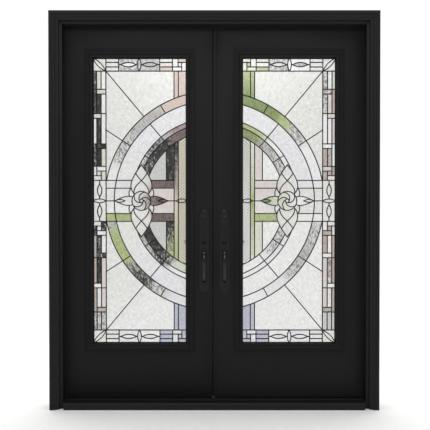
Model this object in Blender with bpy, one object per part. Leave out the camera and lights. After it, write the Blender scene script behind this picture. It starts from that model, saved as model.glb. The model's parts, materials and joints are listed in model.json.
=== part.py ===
# Double fibreglass entry door, 5 ft 4 in by 6 ft 8 in, hung in its own frame and swinging into the house.
# Metres. +X runs to the right as seen from outside, +Y into the house, +Z up.
# The origin is the middle of the sill's underside, on the plane of the wall's outer face.
# Each door is described by u, the distance from the unit's centre line, so x = side * u.

from math import acos, atan2, copysign, cos, hypot, pi, radians, sin, sqrt

import bmesh
import bpy
from mathutils import Vector
from mathutils.geometry import delaunay_2d_cdt

LEFT = -1
RIGHT = 1

# Fit between pieces that touch in the real unit, and how near points may lie in flat outlines
FIT = 0.0003
WELD = 0.00001
STRAIGHT = 0.0005

# Door slabs
SLAB_WIDTH = 0.8065
SLAB_HEIGHT = 2.0066
SLAB_THICKNESS = 0.0445
HINGE_GAP = 0.003
HEAD_GAP = 0.0035
SILL_GAP = 0.0035
MEETING_GAP = 0.020

# Jambs and head
JAMB_DEPTH = 0.116
RABBET_WALL = 0.01905
STOP_THICKNESS = 0.0127
SEAL_THICKNESS = 0.003
SEAL_SHOWS = 0.010

# Brick mould round the outside
MOULD_WIDTH = 0.0508
MOULD_DEPTH = 0.03175
MOULD_REVEAL = 0.0144
MOULD_FLAT = 0.0165
MOULD_GROOVE = 0.003
MOULD_GROOVE_DEPTH = 0.004
MOULD_EDGE_DEPTH = 0.019

# Sill
SILL_HEIGHT = 0.041
SILL_SLOPE = 0.0015
SILL_NOSE = 0.030
SILL_NOSE_INSET = 0.0095
SILL_LIP = 0.006

# Lite (the glazed opening) and the frames that hold its glass
LITE_HINGE_STILE = 0.11725
LITE_TOP_RAIL = 0.1301
LITE_FOOT_RAIL = 0.2485
LITE_FACE = 0.043
LITE_LAP = 0.020
LITE_BEAD = 0.0095
LITE_RISE = 0.012
LITE_LEG = 0.0145
CAME_THICKNESS = 0.004
GLASS_THICKNESS = 0.005
GLASS_BITE = 0.015

# Lead came pattern
CAME_WIDTH = 0.0052
CAME_BORDER = 0.003
BORDER_BAND = 0.070
BORDER_OUTER = 0.020
BORDER_MIDDLE = 0.044
BLOCK = 0.0253
BLOCK_1 = 0.098
BLOCK_2 = 0.229
BLOCK_3 = 0.283
TOP_BLOCKS = (0.139, 0.361)
LAST_BLOCK = 0.076
CORNER_BLOCK = 0.026
CORNER_ROW = 0.023
TOP_LEAF = 0.250
LEAF_BULGE = 0.010
SIDE_LEAF_BULGE = 0.012
MIDDLE_LEAF_BULGE = 0.0105
MEETING_LEAF_PAST_STRIP = 0.013
SIDE_LEAF_FOOT = 0.022
SIDE_LEAF_HEAD = 0.091
RING_PAST_BAND = 0.00775
RING_WIDTHS = (0.052, 0.093, 0.026, 0.045)
RING_STEP = radians(13)
LOW_RAY = radians(56.8)
HIGH_RAY = radians(29.3)
ROSETTE_FROM_RING = 0.199
ROSETTE_RADIUS = 0.0515
PETAL_LENGTH = 0.195
PETAL_WIDTH = 0.060
PETAL_FOOT = 0.78
INNER_LEAF = 0.78
INNER_LEAF_BULGE = 0.022
SHOULDER = ((0.047, 0.021), (0.080, 0.025), (0.144, 0))
PINWHEEL_ARMS = 4
PINWHEEL_TURN = radians(60)
CIRCLE_STEPS = 12
BAR_HALF = 0.0685
BAR_EDGE = 0.111
STRIP_INNER = 0.04475
STRIP_OUTER = 0.06775
STRIP_FAR = 0.10975

# Hinges
HINGE_HEIGHT = 0.1016
HINGE_LEAF = 0.034
HINGE_PLATE = 0.0025
HINGE_FROM_END = 0.180
KNUCKLE_RADIUS = 0.006
KNUCKLE_COUNT = 3
KNUCKLE_SIDES = 8
PIN_RADIUS = 0.0026

# Handle sets
PLATE_WIDTH = 0.059
PLATE_HEIGHT = 0.452
PLATE_THICKNESS = 0.004
PLATE_FROM_EDGE = 0.045
PLATE_TO_LITE = 0.02275
PLATE_CENTRE_HEIGHT = 0.8355
PLATE_END = 0.036
THUMB_HEIGHT = 0.882
THUMB_WIDTH = 0.021
THUMB_REACH = 0.026
GRIP_TOP = 0.838
GRIP_LENGTH = 0.170
GRIP_REACH = 0.052
GRIP_TOP_WIDTH = 0.022
GRIP_FOOT_WIDTH = 0.016
LEVER_LENGTH = 0.112
LEVER_REACH = 0.050

# Meeting edge and door foot
ASTRAGAL_GAP = 0.004
SWEEP_HEIGHT = 0.0026
SWEEP_THICKNESS = 0.030

# Places that follow from the sizes above
slab_inner = MEETING_GAP / 2
slab_outer = slab_inner + SLAB_WIDTH
rabbet = slab_outer + HINGE_GAP
stop_face = rabbet - STOP_THICKNESS
jamb_outer = rabbet + RABBET_WALL
mould_inner = stop_face + MOULD_REVEAL
mould_outer = mould_inner + MOULD_WIDTH
slab_front = JAMB_DEPTH - SLAB_THICKNESS
stop_back = slab_front - SEAL_THICKNESS
slab_foot = SILL_HEIGHT + SILL_GAP
slab_head = slab_foot + SLAB_HEIGHT
head_rabbet = slab_head + HEAD_GAP
head_stop = head_rabbet - STOP_THICKNESS
jamb_top = head_rabbet + RABBET_WALL
mould_top = head_stop + MOULD_REVEAL + MOULD_WIDTH

lite_near = slab_inner + PLATE_FROM_EDGE + PLATE_WIDTH / 2 + PLATE_TO_LITE
lite_far = slab_outer - LITE_HINGE_STILE
lite_width = lite_far - lite_near
lite_centre = (lite_near + lite_far) / 2
lite_height = SLAB_HEIGHT - LITE_TOP_RAIL - LITE_FOOT_RAIL
lite_centre_height = slab_foot + LITE_FOOT_RAIL + lite_height / 2
sight_half = lite_width / 2 - LITE_FACE
sight_rise = lite_height / 2 - LITE_FACE
sight_near = lite_centre - sight_half
border_line = lite_centre + sight_half - BORDER_BAND
ring_radii = [border_line + RING_PAST_BAND]
for width in RING_WIDTHS:
    ring_radii.append(ring_radii[-1] - width)
rosette_out = ring_radii[0] - ROSETTE_FROM_RING
came_front = slab_front + LITE_LEG + FIT
glass_front = came_front + CAME_THICKNESS + FIT
glass_back = glass_front + GLASS_THICKNESS

hinge_axis_u = slab_outer + HINGE_GAP / 2
hinge_axis_y = JAMB_DEPTH + KNUCKLE_RADIUS + FIT
plate_front = slab_front - FIT - PLATE_THICKNESS
plate_back = JAMB_DEPTH + FIT + PLATE_THICKNESS
plate_u = slab_inner + PLATE_FROM_EDGE

for old in list(bpy.data.objects):
    bpy.data.objects.remove(old, do_unlink=True)


def finish(name, colour, roughness, metallic=0.0, alpha=1.0):
    material = bpy.data.materials.new(name)
    material.use_nodes = True
    shader = material.node_tree.nodes["Principled BSDF"]
    shader.inputs["Base Color"].default_value = (*colour, 1.0)
    shader.inputs["Roughness"].default_value = roughness
    shader.inputs["Metallic"].default_value = metallic
    shader.inputs["Alpha"].default_value = alpha
    material.diffuse_color = (*colour, alpha)
    return material


paint = finish("black_painted_fibreglass", (0.017, 0.017, 0.018), 0.42)
trim_paint = finish("black_painted_trim", (0.017, 0.017, 0.018), 0.45)
seal_foam = finish("black_foam_seal", (0.012, 0.012, 0.012), 0.85)
sill_metal = finish("black_anodised_sill", (0.016, 0.016, 0.017), 0.38, 0.6)
hardware = finish("black_coated_hardware", (0.014, 0.014, 0.015), 0.33, 0.5)
lead = finish("dark_lead_came", (0.045, 0.045, 0.047), 0.5, 0.7)
leaded_glass = finish("textured_clear_glass", (0.60, 0.60, 0.60), 0.12, 0.0, 0.55)


def add_object(name, mesh, material, parent=None):
    piece = bpy.data.objects.new(name, mesh)
    bpy.context.collection.objects.link(piece)
    mesh.materials.clear()
    mesh.materials.append(material)
    if parent:
        # The mesh holds world positions, so the piece steps back by its parent's place
        piece.parent = parent
        piece.location = -parent.location
    return piece


def mesh_from(bm, name):
    bmesh.ops.recalc_face_normals(bm, faces=bm.faces)
    mesh = bpy.data.meshes.new(name)
    bm.to_mesh(mesh)
    bm.free()
    return mesh


def loft(name, rings, looped=False):
    # Skins a row of outlines with equal numbers of points, with end caps or closed into a loop
    bm = bmesh.new()
    rows = [[bm.verts.new(point) for point in ring] for ring in rings]
    pairs = list(zip(rows, rows[1:]))
    if looped:
        pairs.append((rows[-1], rows[0]))
    for first, second in pairs:
        for i, vert in enumerate(first):
            j = (i + 1) % len(first)
            bm.faces.new((vert, first[j], second[j], second[i]))
    if not looped:
        bm.faces.new(rows[0])
        bm.faces.new(rows[-1])
    return mesh_from(bm, name)


def block(name, x_range, y_range, z_range):
    (x0, x1), (y0, y1), (z0, z1) = x_range, y_range, z_range
    base = [(x0, y0), (x1, y0), (x1, y1), (x0, y1)]
    return loft(name, [[(x, y, z) for x, y in base] for z in (z0, z1)])


def side_range(side, u0, u1):
    return tuple(sorted((side * u0, side * u1)))


def side_block(name, side, u_range, y_range, z_range):
    return block(name, side_range(side, *u_range), y_range, z_range)


def combine(mesh, tools, operation="DIFFERENCE"):
    # Cuts or joins each tool mesh with the first one and returns the result as a plain mesh
    carrier = bpy.data.objects.new("carrier", mesh)
    bpy.context.collection.objects.link(carrier)
    helpers = []
    for tool in tools:
        helper = bpy.data.objects.new("helper", tool)
        bpy.context.collection.objects.link(helper)
        helper.hide_render = True
        helper.display_type = "WIRE"
        helpers.append(helper)
        boolean = carrier.modifiers.new("boolean", "BOOLEAN")
        boolean.operation = operation
        boolean.solver = "EXACT"
        boolean.object = helper
    bpy.context.view_layer.update()
    graph = bpy.context.evaluated_depsgraph_get()
    result = bpy.data.meshes.new_from_object(carrier.evaluated_get(graph), depsgraph=graph)
    for spare in helpers + [carrier]:
        bpy.data.objects.remove(spare, do_unlink=True)
    result.name = mesh.name
    return result


def mitre_run(name, profile, outer, top, part, foot=0.0):
    # A frame member whose profile is (d, y), with d measured inwards from the outer edge of the frame.
    # Its corner ends are cut at 45 degrees, half a fit back from the corner line.
    back = FIT / 2 * sqrt(2)
    if part == "head":
        rings = [[(end * (outer - d - back), y, top - d) for d, y in profile] for end in (LEFT, RIGHT)]
    else:
        low = [(part * (outer - d), y, foot) for d, y in profile]
        high = [(part * (outer - d), y, top - d - back) for d, y in profile]
        rings = [low, high]
    return loft(name, rings)


def ease(t):
    # A soft S from 0 to 1, the line of an ogee
    return (1 - cos(pi * t)) / 2


def mould_profile():
    wall = MOULD_WIDTH
    face = -MOULD_DEPTH
    groove = MOULD_FLAT + MOULD_GROOVE
    points = [(0, -FIT), (0, face + 0.002), (0.002, face), (MOULD_FLAT, face)]
    points += [(MOULD_FLAT + MOULD_GROOVE / 2, face + MOULD_GROOVE_DEPTH), (groove, face + 0.001)]
    ogee_end = wall - 0.004
    for step in range(1, 6):
        t = step / 5
        points.append((groove + (ogee_end - groove) * t, face + 0.001 + (MOULD_DEPTH - MOULD_EDGE_DEPTH) * ease(t)))
    points += [(wall, -MOULD_EDGE_DEPTH + 0.003), (wall, -FIT)]
    return points


def lite_profile():
    # (d inwards from the outer edge, height out of the slab's face), down to the leg that holds the glass
    points = [(0, FIT), (0, LITE_BEAD * 0.55)]
    for step in range(1, 4):
        angle = pi * (1 - step / 4)
        points.append((0.004 + 0.004 * cos(angle), LITE_BEAD * (0.55 + 0.45 * sin(angle))))
    points += [(0.008, LITE_BEAD * 0.55), (0.0115, LITE_BEAD * 0.5)]
    slope_start = 0.013
    slope_end = LITE_FACE - 0.008
    for step in range(6):
        t = step / 5
        drop = LITE_RISE - (LITE_RISE - 0.005) * max(0.0, t - 0.3) / 0.7
        points.append((slope_start + (slope_end - slope_start) * t, drop if step else LITE_RISE * 0.8))
    points += [(LITE_FACE - 0.006, 0.0032), (LITE_FACE - 0.001, 0.0032), (LITE_FACE, 0.002)]
    points += [(LITE_FACE, -LITE_LEG), (LITE_LAP + 0.0006, -LITE_LEG), (LITE_LAP + 0.0006, FIT)]
    return points


def lite_frame(name, side, face, outwards):
    # The profile carried round the lite, mitred at its corners
    rings = []
    for corner_u, corner_z in ((-1, -1), (1, -1), (1, 1), (-1, 1)):
        ring = []
        for d, height in lite_profile():
            u = lite_centre + corner_u * (lite_width / 2 - d)
            z = lite_centre_height + corner_z * (lite_height / 2 - d)
            ring.append((side * u, face + outwards * height, z))
        rings.append(ring)
    return loft(name, rings, looped=True)


def half_oval(start, end, bulge, steps=3):
    # A shallow arc from start to end that stands bulge to the left of the straight line between them
    along = Vector(end) - Vector(start)
    across = Vector((-along.y, along.x)).normalized()
    points = []
    for step in range(steps + 1):
        t = step / steps
        points.append(Vector(start) + along * t + across * bulge * 4 * t * (1 - t))
    return points


def bezier(p0, p1, p2, p3, steps):
    points = []
    for step in range(steps + 1):
        t = step / steps
        s = 1 - t
        mix = (s ** 3, 3 * s * s * t, 3 * s * t * t, t ** 3)
        points.append(sum((Vector(p) * m for p, m in zip((p0, p1, p2, p3), mix)), Vector((0, 0))))
    return points


def petal_curve(steps=4):
    # The outer edge of the rosette's tall petal, from the circle out to the tip, beside the rosette's own axis
    node = ROSETTE_RADIUS * PETAL_FOOT
    return bezier((node, node), (PETAL_WIDTH * 1.32, PETAL_WIDTH * 1.35), (PETAL_WIDTH * 0.72, PETAL_LENGTH * 0.7),
                  (0, PETAL_LENGTH), steps)


def petal_half_width(height):
    curve = petal_curve()
    if height <= curve[0].y:
        return sqrt(max(ROSETTE_RADIUS ** 2 - height ** 2, 0.0))
    for low, high in zip(curve, curve[1:]):
        if low.y <= height <= high.y:
            t = (height - low.y) / (high.y - low.y)
            return low.x + (high.x - low.x) * t
    return 0.0


def ring_arc(radius, start, end):
    # Angles are measured from the upright through the ring's centre, in the lite's own (u, v)
    steps = max(2, round(abs(end - start) / RING_STEP))
    angles = [start + (end - start) * step / steps for step in range(steps + 1)]
    return [(radius * sin(angle), radius * cos(angle)) for angle in angles]


def ring_meets_petal(radius):
    # The angle at which a ring, coming down from the top, runs into the rosette's tall petal
    angle = acos(min(1.0, PETAL_LENGTH / radius))
    while abs(radius * sin(angle) - rosette_out) > petal_half_width(radius * cos(angle)) and angle < pi / 2:
        angle += radians(0.25)
    return angle


def came_lines():
    # Every line of lead in the upper half, and those on the centre line, as rows of (u, v) points.
    # u runs out from the unit's centre line and v up from the rosette's centre.
    near = sight_near
    band = border_line
    far = border_line + BORDER_BAND
    edge = sight_rise
    strip_inner, strip_outer, strip_far = near + STRIP_INNER, near + STRIP_OUTER, near + STRIP_FAR
    top = edge - BORDER_BAND
    outer = far - BORDER_OUTER
    middle = far - BORDER_MIDDLE
    outer_ring, inner_ring, second_out, second_mid, second_in = ring_radii
    upper = []

    # Border band up the hinge side, woven into blocks
    upper.append([(band, BAR_EDGE), (band, edge)])
    foot_low, foot_mid, foot_top = BAR_EDGE + BLOCK, BAR_EDGE + 2 * BLOCK, BAR_EDGE + 3 * BLOCK
    upper.append([(outer, foot_low), (outer, top - BLOCK_2 - BLOCK)])
    upper.append([(outer, top - BLOCK_2), (outer, top)])
    upper.append([(middle, BAR_EDGE), (middle, foot_mid)])
    upper.append([(middle, foot_top), (middle, BLOCK_3)])
    upper.append([(middle, BLOCK_3 + BLOCK), (middle, top - BLOCK_1 - BLOCK)])
    upper.append([(middle, top - BLOCK_1), (middle, top)])
    for height in (BAR_EDGE, foot_top, BLOCK_3 + BLOCK, top - BLOCK_2, top - BLOCK_1):
        upper.append([(band, height), (far, height)])
    for height in (foot_mid, BLOCK_3, top - BLOCK_1 - BLOCK):
        upper.append([(band, height), (outer, height)])
    for height in (foot_low, top - BLOCK_2 - BLOCK):
        upper.append([(middle, height), (far, height)])

    # Border band along the top
    upper.append([(near, top), (far, top)])
    for place in [far - out for out in TOP_BLOCKS] + [near + LAST_BLOCK]:
        upper.append([(place, top), (place, edge)])
    halfway = BORDER_BAND / 2
    upper.append([(far - TOP_BLOCKS[0], edge - halfway), (far - TOP_BLOCKS[1], edge - halfway)])
    upper.append([(near + CORNER_BLOCK, top), (near + CORNER_BLOCK, edge - CORNER_ROW), (near, edge - CORNER_ROW)])

    # Leaf ovals in the border
    leaf_line = far - halfway
    upper.append([(leaf_line, LEAF_BULGE), (leaf_line, SIDE_LEAF_FOOT)])
    upper.append([(leaf_line, SIDE_LEAF_HEAD), (leaf_line, BAR_EDGE)])
    for turn in (LEFT, RIGHT):
        upper.append(half_oval((far, edge), (band, top), turn * LEAF_BULGE, 2))
        upper.append(half_oval((leaf_line, SIDE_LEAF_FOOT), (leaf_line, SIDE_LEAF_HEAD), turn * SIDE_LEAF_BULGE, 2))
        upper.append(half_oval((far - TOP_LEAF, top), (far - TOP_LEAF, edge), turn * LEAF_BULGE, 2))

    # Rings, and the rays that cross them
    ring_start = {radius: acos(sqrt(radius ** 2 - near ** 2) / radius) for radius in ring_radii}
    corner = atan2(band, top)
    upper.append(ring_arc(outer_ring, ring_start[outer_ring], acos(BAR_EDGE / outer_ring)))
    upper.append(ring_arc(inner_ring, ring_start[inner_ring], pi / 2))
    for radius in (second_out, second_mid, second_in):
        upper.append(ring_arc(radius, ring_start[radius], ring_meets_petal(radius)))
    for angle, start, end in ((corner, outer_ring, hypot(band, top)), (corner, second_in, inner_ring),
                              (LOW_RAY, inner_ring, band / sin(LOW_RAY)), (LOW_RAY, second_in, second_out),
                              (HIGH_RAY, inner_ring, outer_ring)):
        upper.append([(start * sin(angle), start * cos(angle)), (end * sin(angle), end * cos(angle))])

    # Uprights beside the meeting edge, and the bars across the middle
    for out in (strip_outer, strip_inner):
        upper.append([(out, sqrt(outer_ring ** 2 - out ** 2)), (out, top)])
        upper.append([(out, 0), (out, sqrt(second_in ** 2 - out ** 2))])
    upper.append([(strip_far, BAR_EDGE), (strip_far, sqrt(second_in ** 2 - strip_far ** 2))])
    for height in (BAR_HALF, BAR_EDGE):
        wide = petal_half_width(height)
        upper.append([(strip_outer, height), (rosette_out - wide, height)])
        upper.append([(rosette_out + wide, height), (band, height)])

    # Rosette: tall petal, its inner leaf, and the side leaves
    for turn in (LEFT, RIGHT):
        upper.append([(rosette_out + turn * x, y) for x, y in petal_curve()])
        upper.append([(rosette_out + turn * p.x, p.y)
                      for p in half_oval((0, ROSETTE_RADIUS), (0, PETAL_LENGTH * INNER_LEAF), INNER_LEAF_BULGE)])
        upper.append([(rosette_out + turn * x, y) for x, y in SHOULDER])
    tip = SHOULDER[-1][0]
    middle_lines = [[(rosette_out + tip, 0), (band, 0)], [(strip_outer, 0), (rosette_out - tip, 0)]]
    middle_lines.append([(band, 0), (band, BAR_EDGE)])
    middle_lines.append([(band, 0), (band, -BAR_EDGE)])
    for bulge in (MIDDLE_LEAF_BULGE, -MIDDLE_LEAF_BULGE):
        middle_lines.append(half_oval((near, 0), (strip_inner + MEETING_LEAF_PAST_STRIP, 0), bulge, 2))
        middle_lines.append(half_oval((band, 0), (far, 0), bulge, 2))
    circle = [(rosette_out + ROSETTE_RADIUS * cos(a), ROSETTE_RADIUS * sin(a))
              for a in [2 * pi * step / CIRCLE_STEPS for step in range(CIRCLE_STEPS + 1)]]
    middle_lines.append(circle)

    # Pinwheel of curved arms inside the circle
    for arm in range(PINWHEEL_ARMS):
        start = 2 * pi * arm / PINWHEEL_ARMS
        curve = []
        for step in range(3):
            reach = ROSETTE_RADIUS * step / 2
            angle = start + PINWHEEL_TURN * step / 2
            curve.append((rosette_out + reach * cos(angle), reach * sin(angle)))
        middle_lines.append(curve)
    lower = [[(u, -v) for u, v in line] for line in upper]
    return upper + lower + middle_lines


def strip_outline(points, width):
    # The two edges of one line of lead, mitred where it bends
    points = [Vector(point) for point in points]
    closed = (points[0] - points[-1]).length < 1e-6
    left = []
    right = []
    for i, point in enumerate(points):
        before = points[i - 1] if i else (points[-2] if closed else None)
        after = points[i + 1] if i + 1 < len(points) else (points[1] if closed else None)
        directions = []
        if before is not None:
            directions.append((point - before).normalized())
        if after is not None:
            directions.append((after - point).normalized())
        along = sum(directions, Vector((0, 0))).normalized()
        across = Vector((-along.y, along.x))
        reach = width / 2 / max(0.5, along.dot(directions[0]))
        left.append(point + across * reach)
        right.append(point - across * reach)
    if closed:
        left[-1] = left[0]
        right[-1] = right[0]
    return left, right


def outline_edges(verts, tris):
    # The edges round a set of triangles, without the points along their straight runs
    count = {}
    for tri in tris:
        for a, b in zip(tri, tri[1:] + tri[:1]):
            key = (min(a, b), max(a, b))
            count[key] = count.get(key, 0) + 1
    beside = {}
    for (a, b), times in count.items():
        if times == 1:
            beside.setdefault(a, set()).add(b)
            beside.setdefault(b, set()).add(a)
    for middle in list(beside):
        if len(beside[middle]) != 2:
            continue
        a, b = beside[middle]
        first = (verts[middle] - verts[a]).normalized()
        second = (verts[b] - verts[middle]).normalized()
        if abs(first.cross(second)) < STRAIGHT and first.dot(second) > 0 and b not in beside[a]:
            del beside[middle]
            for end, other in ((a, b), (b, a)):
                beside[end].remove(middle)
                beside[end].add(other)
    return [(a, b) for a in beside for b in beside[a] if a < b]


def covered(verts, tris, outlines):
    # The triangles whose middle lies on a line of lead
    def on_lead(point):
        return any(all((b - a).cross(point - a) >= 0 for a, b in zip(outline, outline[1:] + outline[:1]))
                   for outline in outlines)

    return [tri for tri in tris if on_lead(sum((verts[i] for i in tri), Vector((0, 0))) / 3)]


def came_mesh(name, side):
    # All the lines of lead as one flat lattice, welded where they cross, inside its own border strip
    outlines = []
    for line in came_lines():
        left, right = strip_outline(line, CAME_WIDTH)
        for i in range(len(left) - 1):
            outlines.append([right[i], right[i + 1], left[i + 1], left[i]])
    half = sight_half + GLASS_BITE
    rise = sight_rise + GLASS_BITE
    inner_half = sight_half - CAME_BORDER
    inner_rise = sight_rise - CAME_BORDER
    for (u0, v0), (u1, v1) in (((-half, inner_rise), (half, rise)), ((-half, -rise), (half, -inner_rise)),
                               ((-half, -rise), (-inner_half, rise)), ((inner_half, -rise), (half, rise))):
        strip = [(u0, v0), (u1, v0), (u1, v1), (u0, v1)]
        outlines.append([Vector((lite_centre + u, v)) for u, v in strip])
    corners = [corner for outline in outlines for corner in outline]
    faces = [[4 * i, 4 * i + 1, 4 * i + 2, 4 * i + 3] for i in range(len(outlines))]
    verts, _, tris, _, _, _ = delaunay_2d_cdt(corners, [], faces, 0, WELD)
    edges = outline_edges(verts, covered(verts, tris, outlines))

    # Triangles again between those edges alone, so that the lattice has few faces
    used = sorted({i for edge in edges for i in edge})
    place = {old: new for new, old in enumerate(used)}
    verts, _, tris, _, _, _ = delaunay_2d_cdt([verts[i] for i in used], [(place[a], place[b]) for a, b in edges],
                                              [], 0, WELD)
    bm = bmesh.new()
    made = [bm.verts.new((side * v.x, came_front, lite_centre_height + v.y)) for v in verts]
    for tri in covered(verts, tris, outlines):
        bm.faces.new([made[i] for i in tri])
    bmesh.ops.delete(bm, geom=[v for v in bm.verts if not v.link_faces], context="VERTS")
    bmesh.ops.remove_doubles(bm, verts=bm.verts, dist=WELD * 5)
    grown = bmesh.ops.extrude_face_region(bm, geom=list(bm.faces))
    bmesh.ops.translate(bm, vec=(0, CAME_THICKNESS, 0),
                        verts=[item for item in grown["geom"] if isinstance(item, bmesh.types.BMVert)])
    return mesh_from(bm, name)


def hinge_meshes():
    # Both leaves of one butt hinge round its pin, at the origin, for the left-hand side.
    # The frame's leaf carries the pin and the odd knuckles, the door's leaf the others.
    pitch = HINGE_HEIGHT / KNUCKLE_COUNT
    half = HINGE_HEIGHT / 2
    gap = HINGE_GAP / 2
    leaf_end = JAMB_DEPTH - hinge_axis_y - HINGE_LEAF

    def leaf(plate_side):
        inner = plate_side * gap
        outer = plate_side * (gap + HINGE_PLATE)
        plate = block("plate", tuple(sorted((inner, outer))), (leaf_end, -KNUCKLE_RADIUS * 0.3), (-half, half))
        rod = loft("rod", [ring_points(KNUCKLE_RADIUS, z, KNUCKLE_SIDES) for z in (-half, half)])
        return combine(plate, [rod], "UNION")

    def ring_points(radius, z, sides):
        return [(radius * cos(2 * pi * i / sides), radius * sin(2 * pi * i / sides), z) for i in range(sides)]

    def clearance(knuckle, keep_pin):
        low = -half + knuckle * pitch - FIT
        high = low + pitch + 2 * FIT
        room = KNUCKLE_RADIUS + FIT * 2
        box = block("room", (-room, room), (-room, room), (low, high))
        if not keep_pin:
            return box
        pin = loft("pin", [ring_points(PIN_RADIUS, z, KNUCKLE_SIDES) for z in (low - FIT, high + FIT)])
        return combine(box, [pin])

    frame_side = combine(leaf(LEFT), [clearance(k, True) for k in range(1, KNUCKLE_COUNT, 2)])
    bore = loft("bore", [ring_points(PIN_RADIUS + FIT, z, KNUCKLE_SIDES) for z in (-half * 1.1, half * 1.1)])
    door_side = combine(leaf(RIGHT), [clearance(k, False) for k in range(0, KNUCKLE_COUNT, 2)] + [bore])
    return frame_side, door_side


def plate_outline(inset, width=None, height=None):
    # A long plate with elliptical ends, as (x, z) about its centre
    half = (width or PLATE_WIDTH) / 2 - inset
    straight = (height or PLATE_HEIGHT) / 2 - PLATE_END
    points = []
    for end in (1, -1):
        for step in range(6):
            angle = pi * step / 5
            points.append((end * half * cos(angle), end * (straight + (PLATE_END - inset) * sin(angle))))
    return points


def plate_mesh(name, centre_x, back, front, centre_z):
    bevel = 0.0012 if front > back else -0.0012
    rings = []
    for inset, y in ((0, back), (0, front - bevel), (abs(bevel), front)):
        rings.append([(centre_x + x, y, centre_z + z) for x, z in plate_outline(inset)])
    return loft(name, rings)


def bent_bar(name, path, sizes, foot_ends=1, sides=8):
    # An oval bar along a path; sizes are (half width, half thickness). An end that stands on a plate,
    # the first one or both, is cut flat against it.
    rings = []
    last = len(path) - 1
    for i, (x, y, z) in enumerate(path):
        before = Vector(path[max(0, i - 1)])
        after = Vector(path[min(last, i + 1)])
        along = (after - before).normalized()
        if i == 0 or (i == last and foot_ends == 2):
            along = Vector((0, copysign(1, along.y), 0))
        across = Vector((1, 0, 0)) if abs(along.x) < 0.9 else Vector((0, 0, 1))
        third = along.cross(across).normalized()
        across = third.cross(along).normalized()
        half_width, half_thick = sizes[i]
        ring = []
        for k in range(sides):
            angle = 2 * pi * k / sides
            ring.append(Vector((x, y, z)) + across * half_width * cos(angle) + third * half_thick * sin(angle))
        rings.append(ring)
    return loft(name, rings)


def smooth(piece, angle=35):
    piece.data.shade_smooth()
    piece.data.set_sharp_from_angle(angle=radians(angle))


# Frame: two jamb legs and a head, mitred, with the stop worked on each
jamb_profile = [(0, 0), (jamb_outer - stop_face, 0), (jamb_outer - stop_face, stop_back),
                (RABBET_WALL, stop_back), (RABBET_WALL, JAMB_DEPTH), (0, JAMB_DEPTH)]
mould_shape = mould_profile()
seal_top = JAMB_DEPTH - SLAB_THICKNESS - FIT
seal_profile = [(RABBET_WALL + FIT, stop_back + FIT), (jamb_outer - stop_face + SEAL_SHOWS, stop_back + FIT),
                (jamb_outer - stop_face + SEAL_SHOWS, seal_top), (RABBET_WALL + FIT, seal_top)]
member_names = {LEFT: "left", RIGHT: "right", "head": "head"}
for part, word in member_names.items():
    jamb = mitre_run("jamb_" + word, jamb_profile, jamb_outer, jamb_top, part)
    if part != "head":
        pockets = []
        for from_end in (HINGE_FROM_END, SLAB_HEIGHT / 2, SLAB_HEIGHT - HINGE_FROM_END):
            centre = slab_foot + from_end
            half = HINGE_HEIGHT / 2 + FIT
            pockets.append(side_block("pocket", part, (rabbet - 0.001, rabbet + HINGE_PLATE + FIT),
                                      (JAMB_DEPTH - HINGE_LEAF - FIT, JAMB_DEPTH + 0.001),
                                      (centre - half, centre + half)))
        jamb = combine(jamb, pockets)
    add_object("jamb_" + word, jamb, trim_paint)
    mould = mitre_run("brickmould_" + word, mould_shape, mould_outer, mould_top, part)
    smooth(add_object("brickmould_" + word, mould, trim_paint), 25)
    seal = mitre_run("weatherstrip_" + word, seal_profile, jamb_outer, jamb_top, part, SILL_HEIGHT + FIT)
    add_object("weatherstrip_" + word, seal, seal_foam)

# Sill between the legs, notched round their stops, with a nose in front of the wall
nose = -SILL_NOSE
sill_outline = [(nose, 0), (nose, SILL_HEIGHT - SILL_SLOPE - SILL_LIP), (nose + 0.003, SILL_HEIGHT - SILL_SLOPE),
                (0, SILL_HEIGHT - SILL_SLOPE / 2), (stop_back, SILL_HEIGHT),
                (JAMB_DEPTH, SILL_HEIGHT), (JAMB_DEPTH, 0)]
sill_half = rabbet - FIT
sill = loft("sill", [[(x, y, z) for y, z in sill_outline] for x in (-sill_half, sill_half)])
notches = []
for side in (LEFT, RIGHT):
    notches.append(side_block("notch", side, (stop_face - FIT, rabbet + 0.01), (nose - 0.01, stop_back + FIT),
                              (-0.01, SILL_HEIGHT + 0.01)))
    notches.append(side_block("nose_end", side, (stop_face - SILL_NOSE_INSET, rabbet + 0.01), (nose - 0.01, 0),
                              (-0.01, SILL_HEIGHT + 0.01)))
add_object("sill", combine(sill, notches), sill_metal)

hinge_frame_leaf, hinge_door_leaf = hinge_meshes()


def mirrored(mesh):
    bm = bmesh.new()
    bm.from_mesh(mesh)
    bmesh.ops.scale(bm, vec=(-1, 1, 1), verts=bm.verts)
    return mesh_from(bm, mesh.name)


def hang_hinges(word, side, axis):
    hands = (hinge_frame_leaf, hinge_door_leaf)
    if side == RIGHT:
        hands = (mirrored(hinge_frame_leaf), mirrored(hinge_door_leaf))
    spots = {"top": SLAB_HEIGHT - HINGE_FROM_END, "middle": SLAB_HEIGHT / 2, "bottom": HINGE_FROM_END}
    for spot, from_foot in spots.items():
        place = Vector((side * hinge_axis_u, hinge_axis_y, slab_foot + from_foot))
        frame_leaf = add_object(f"{word}_{spot}_hinge_frame_leaf", hands[0].copy(), hardware)
        frame_leaf.location = place
        door_leaf = add_object(f"{word}_{spot}_hinge_door_leaf", hands[1].copy(), hardware, axis)
        door_leaf.location = place - axis.location
        smooth(frame_leaf)
        smooth(door_leaf)


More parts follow.
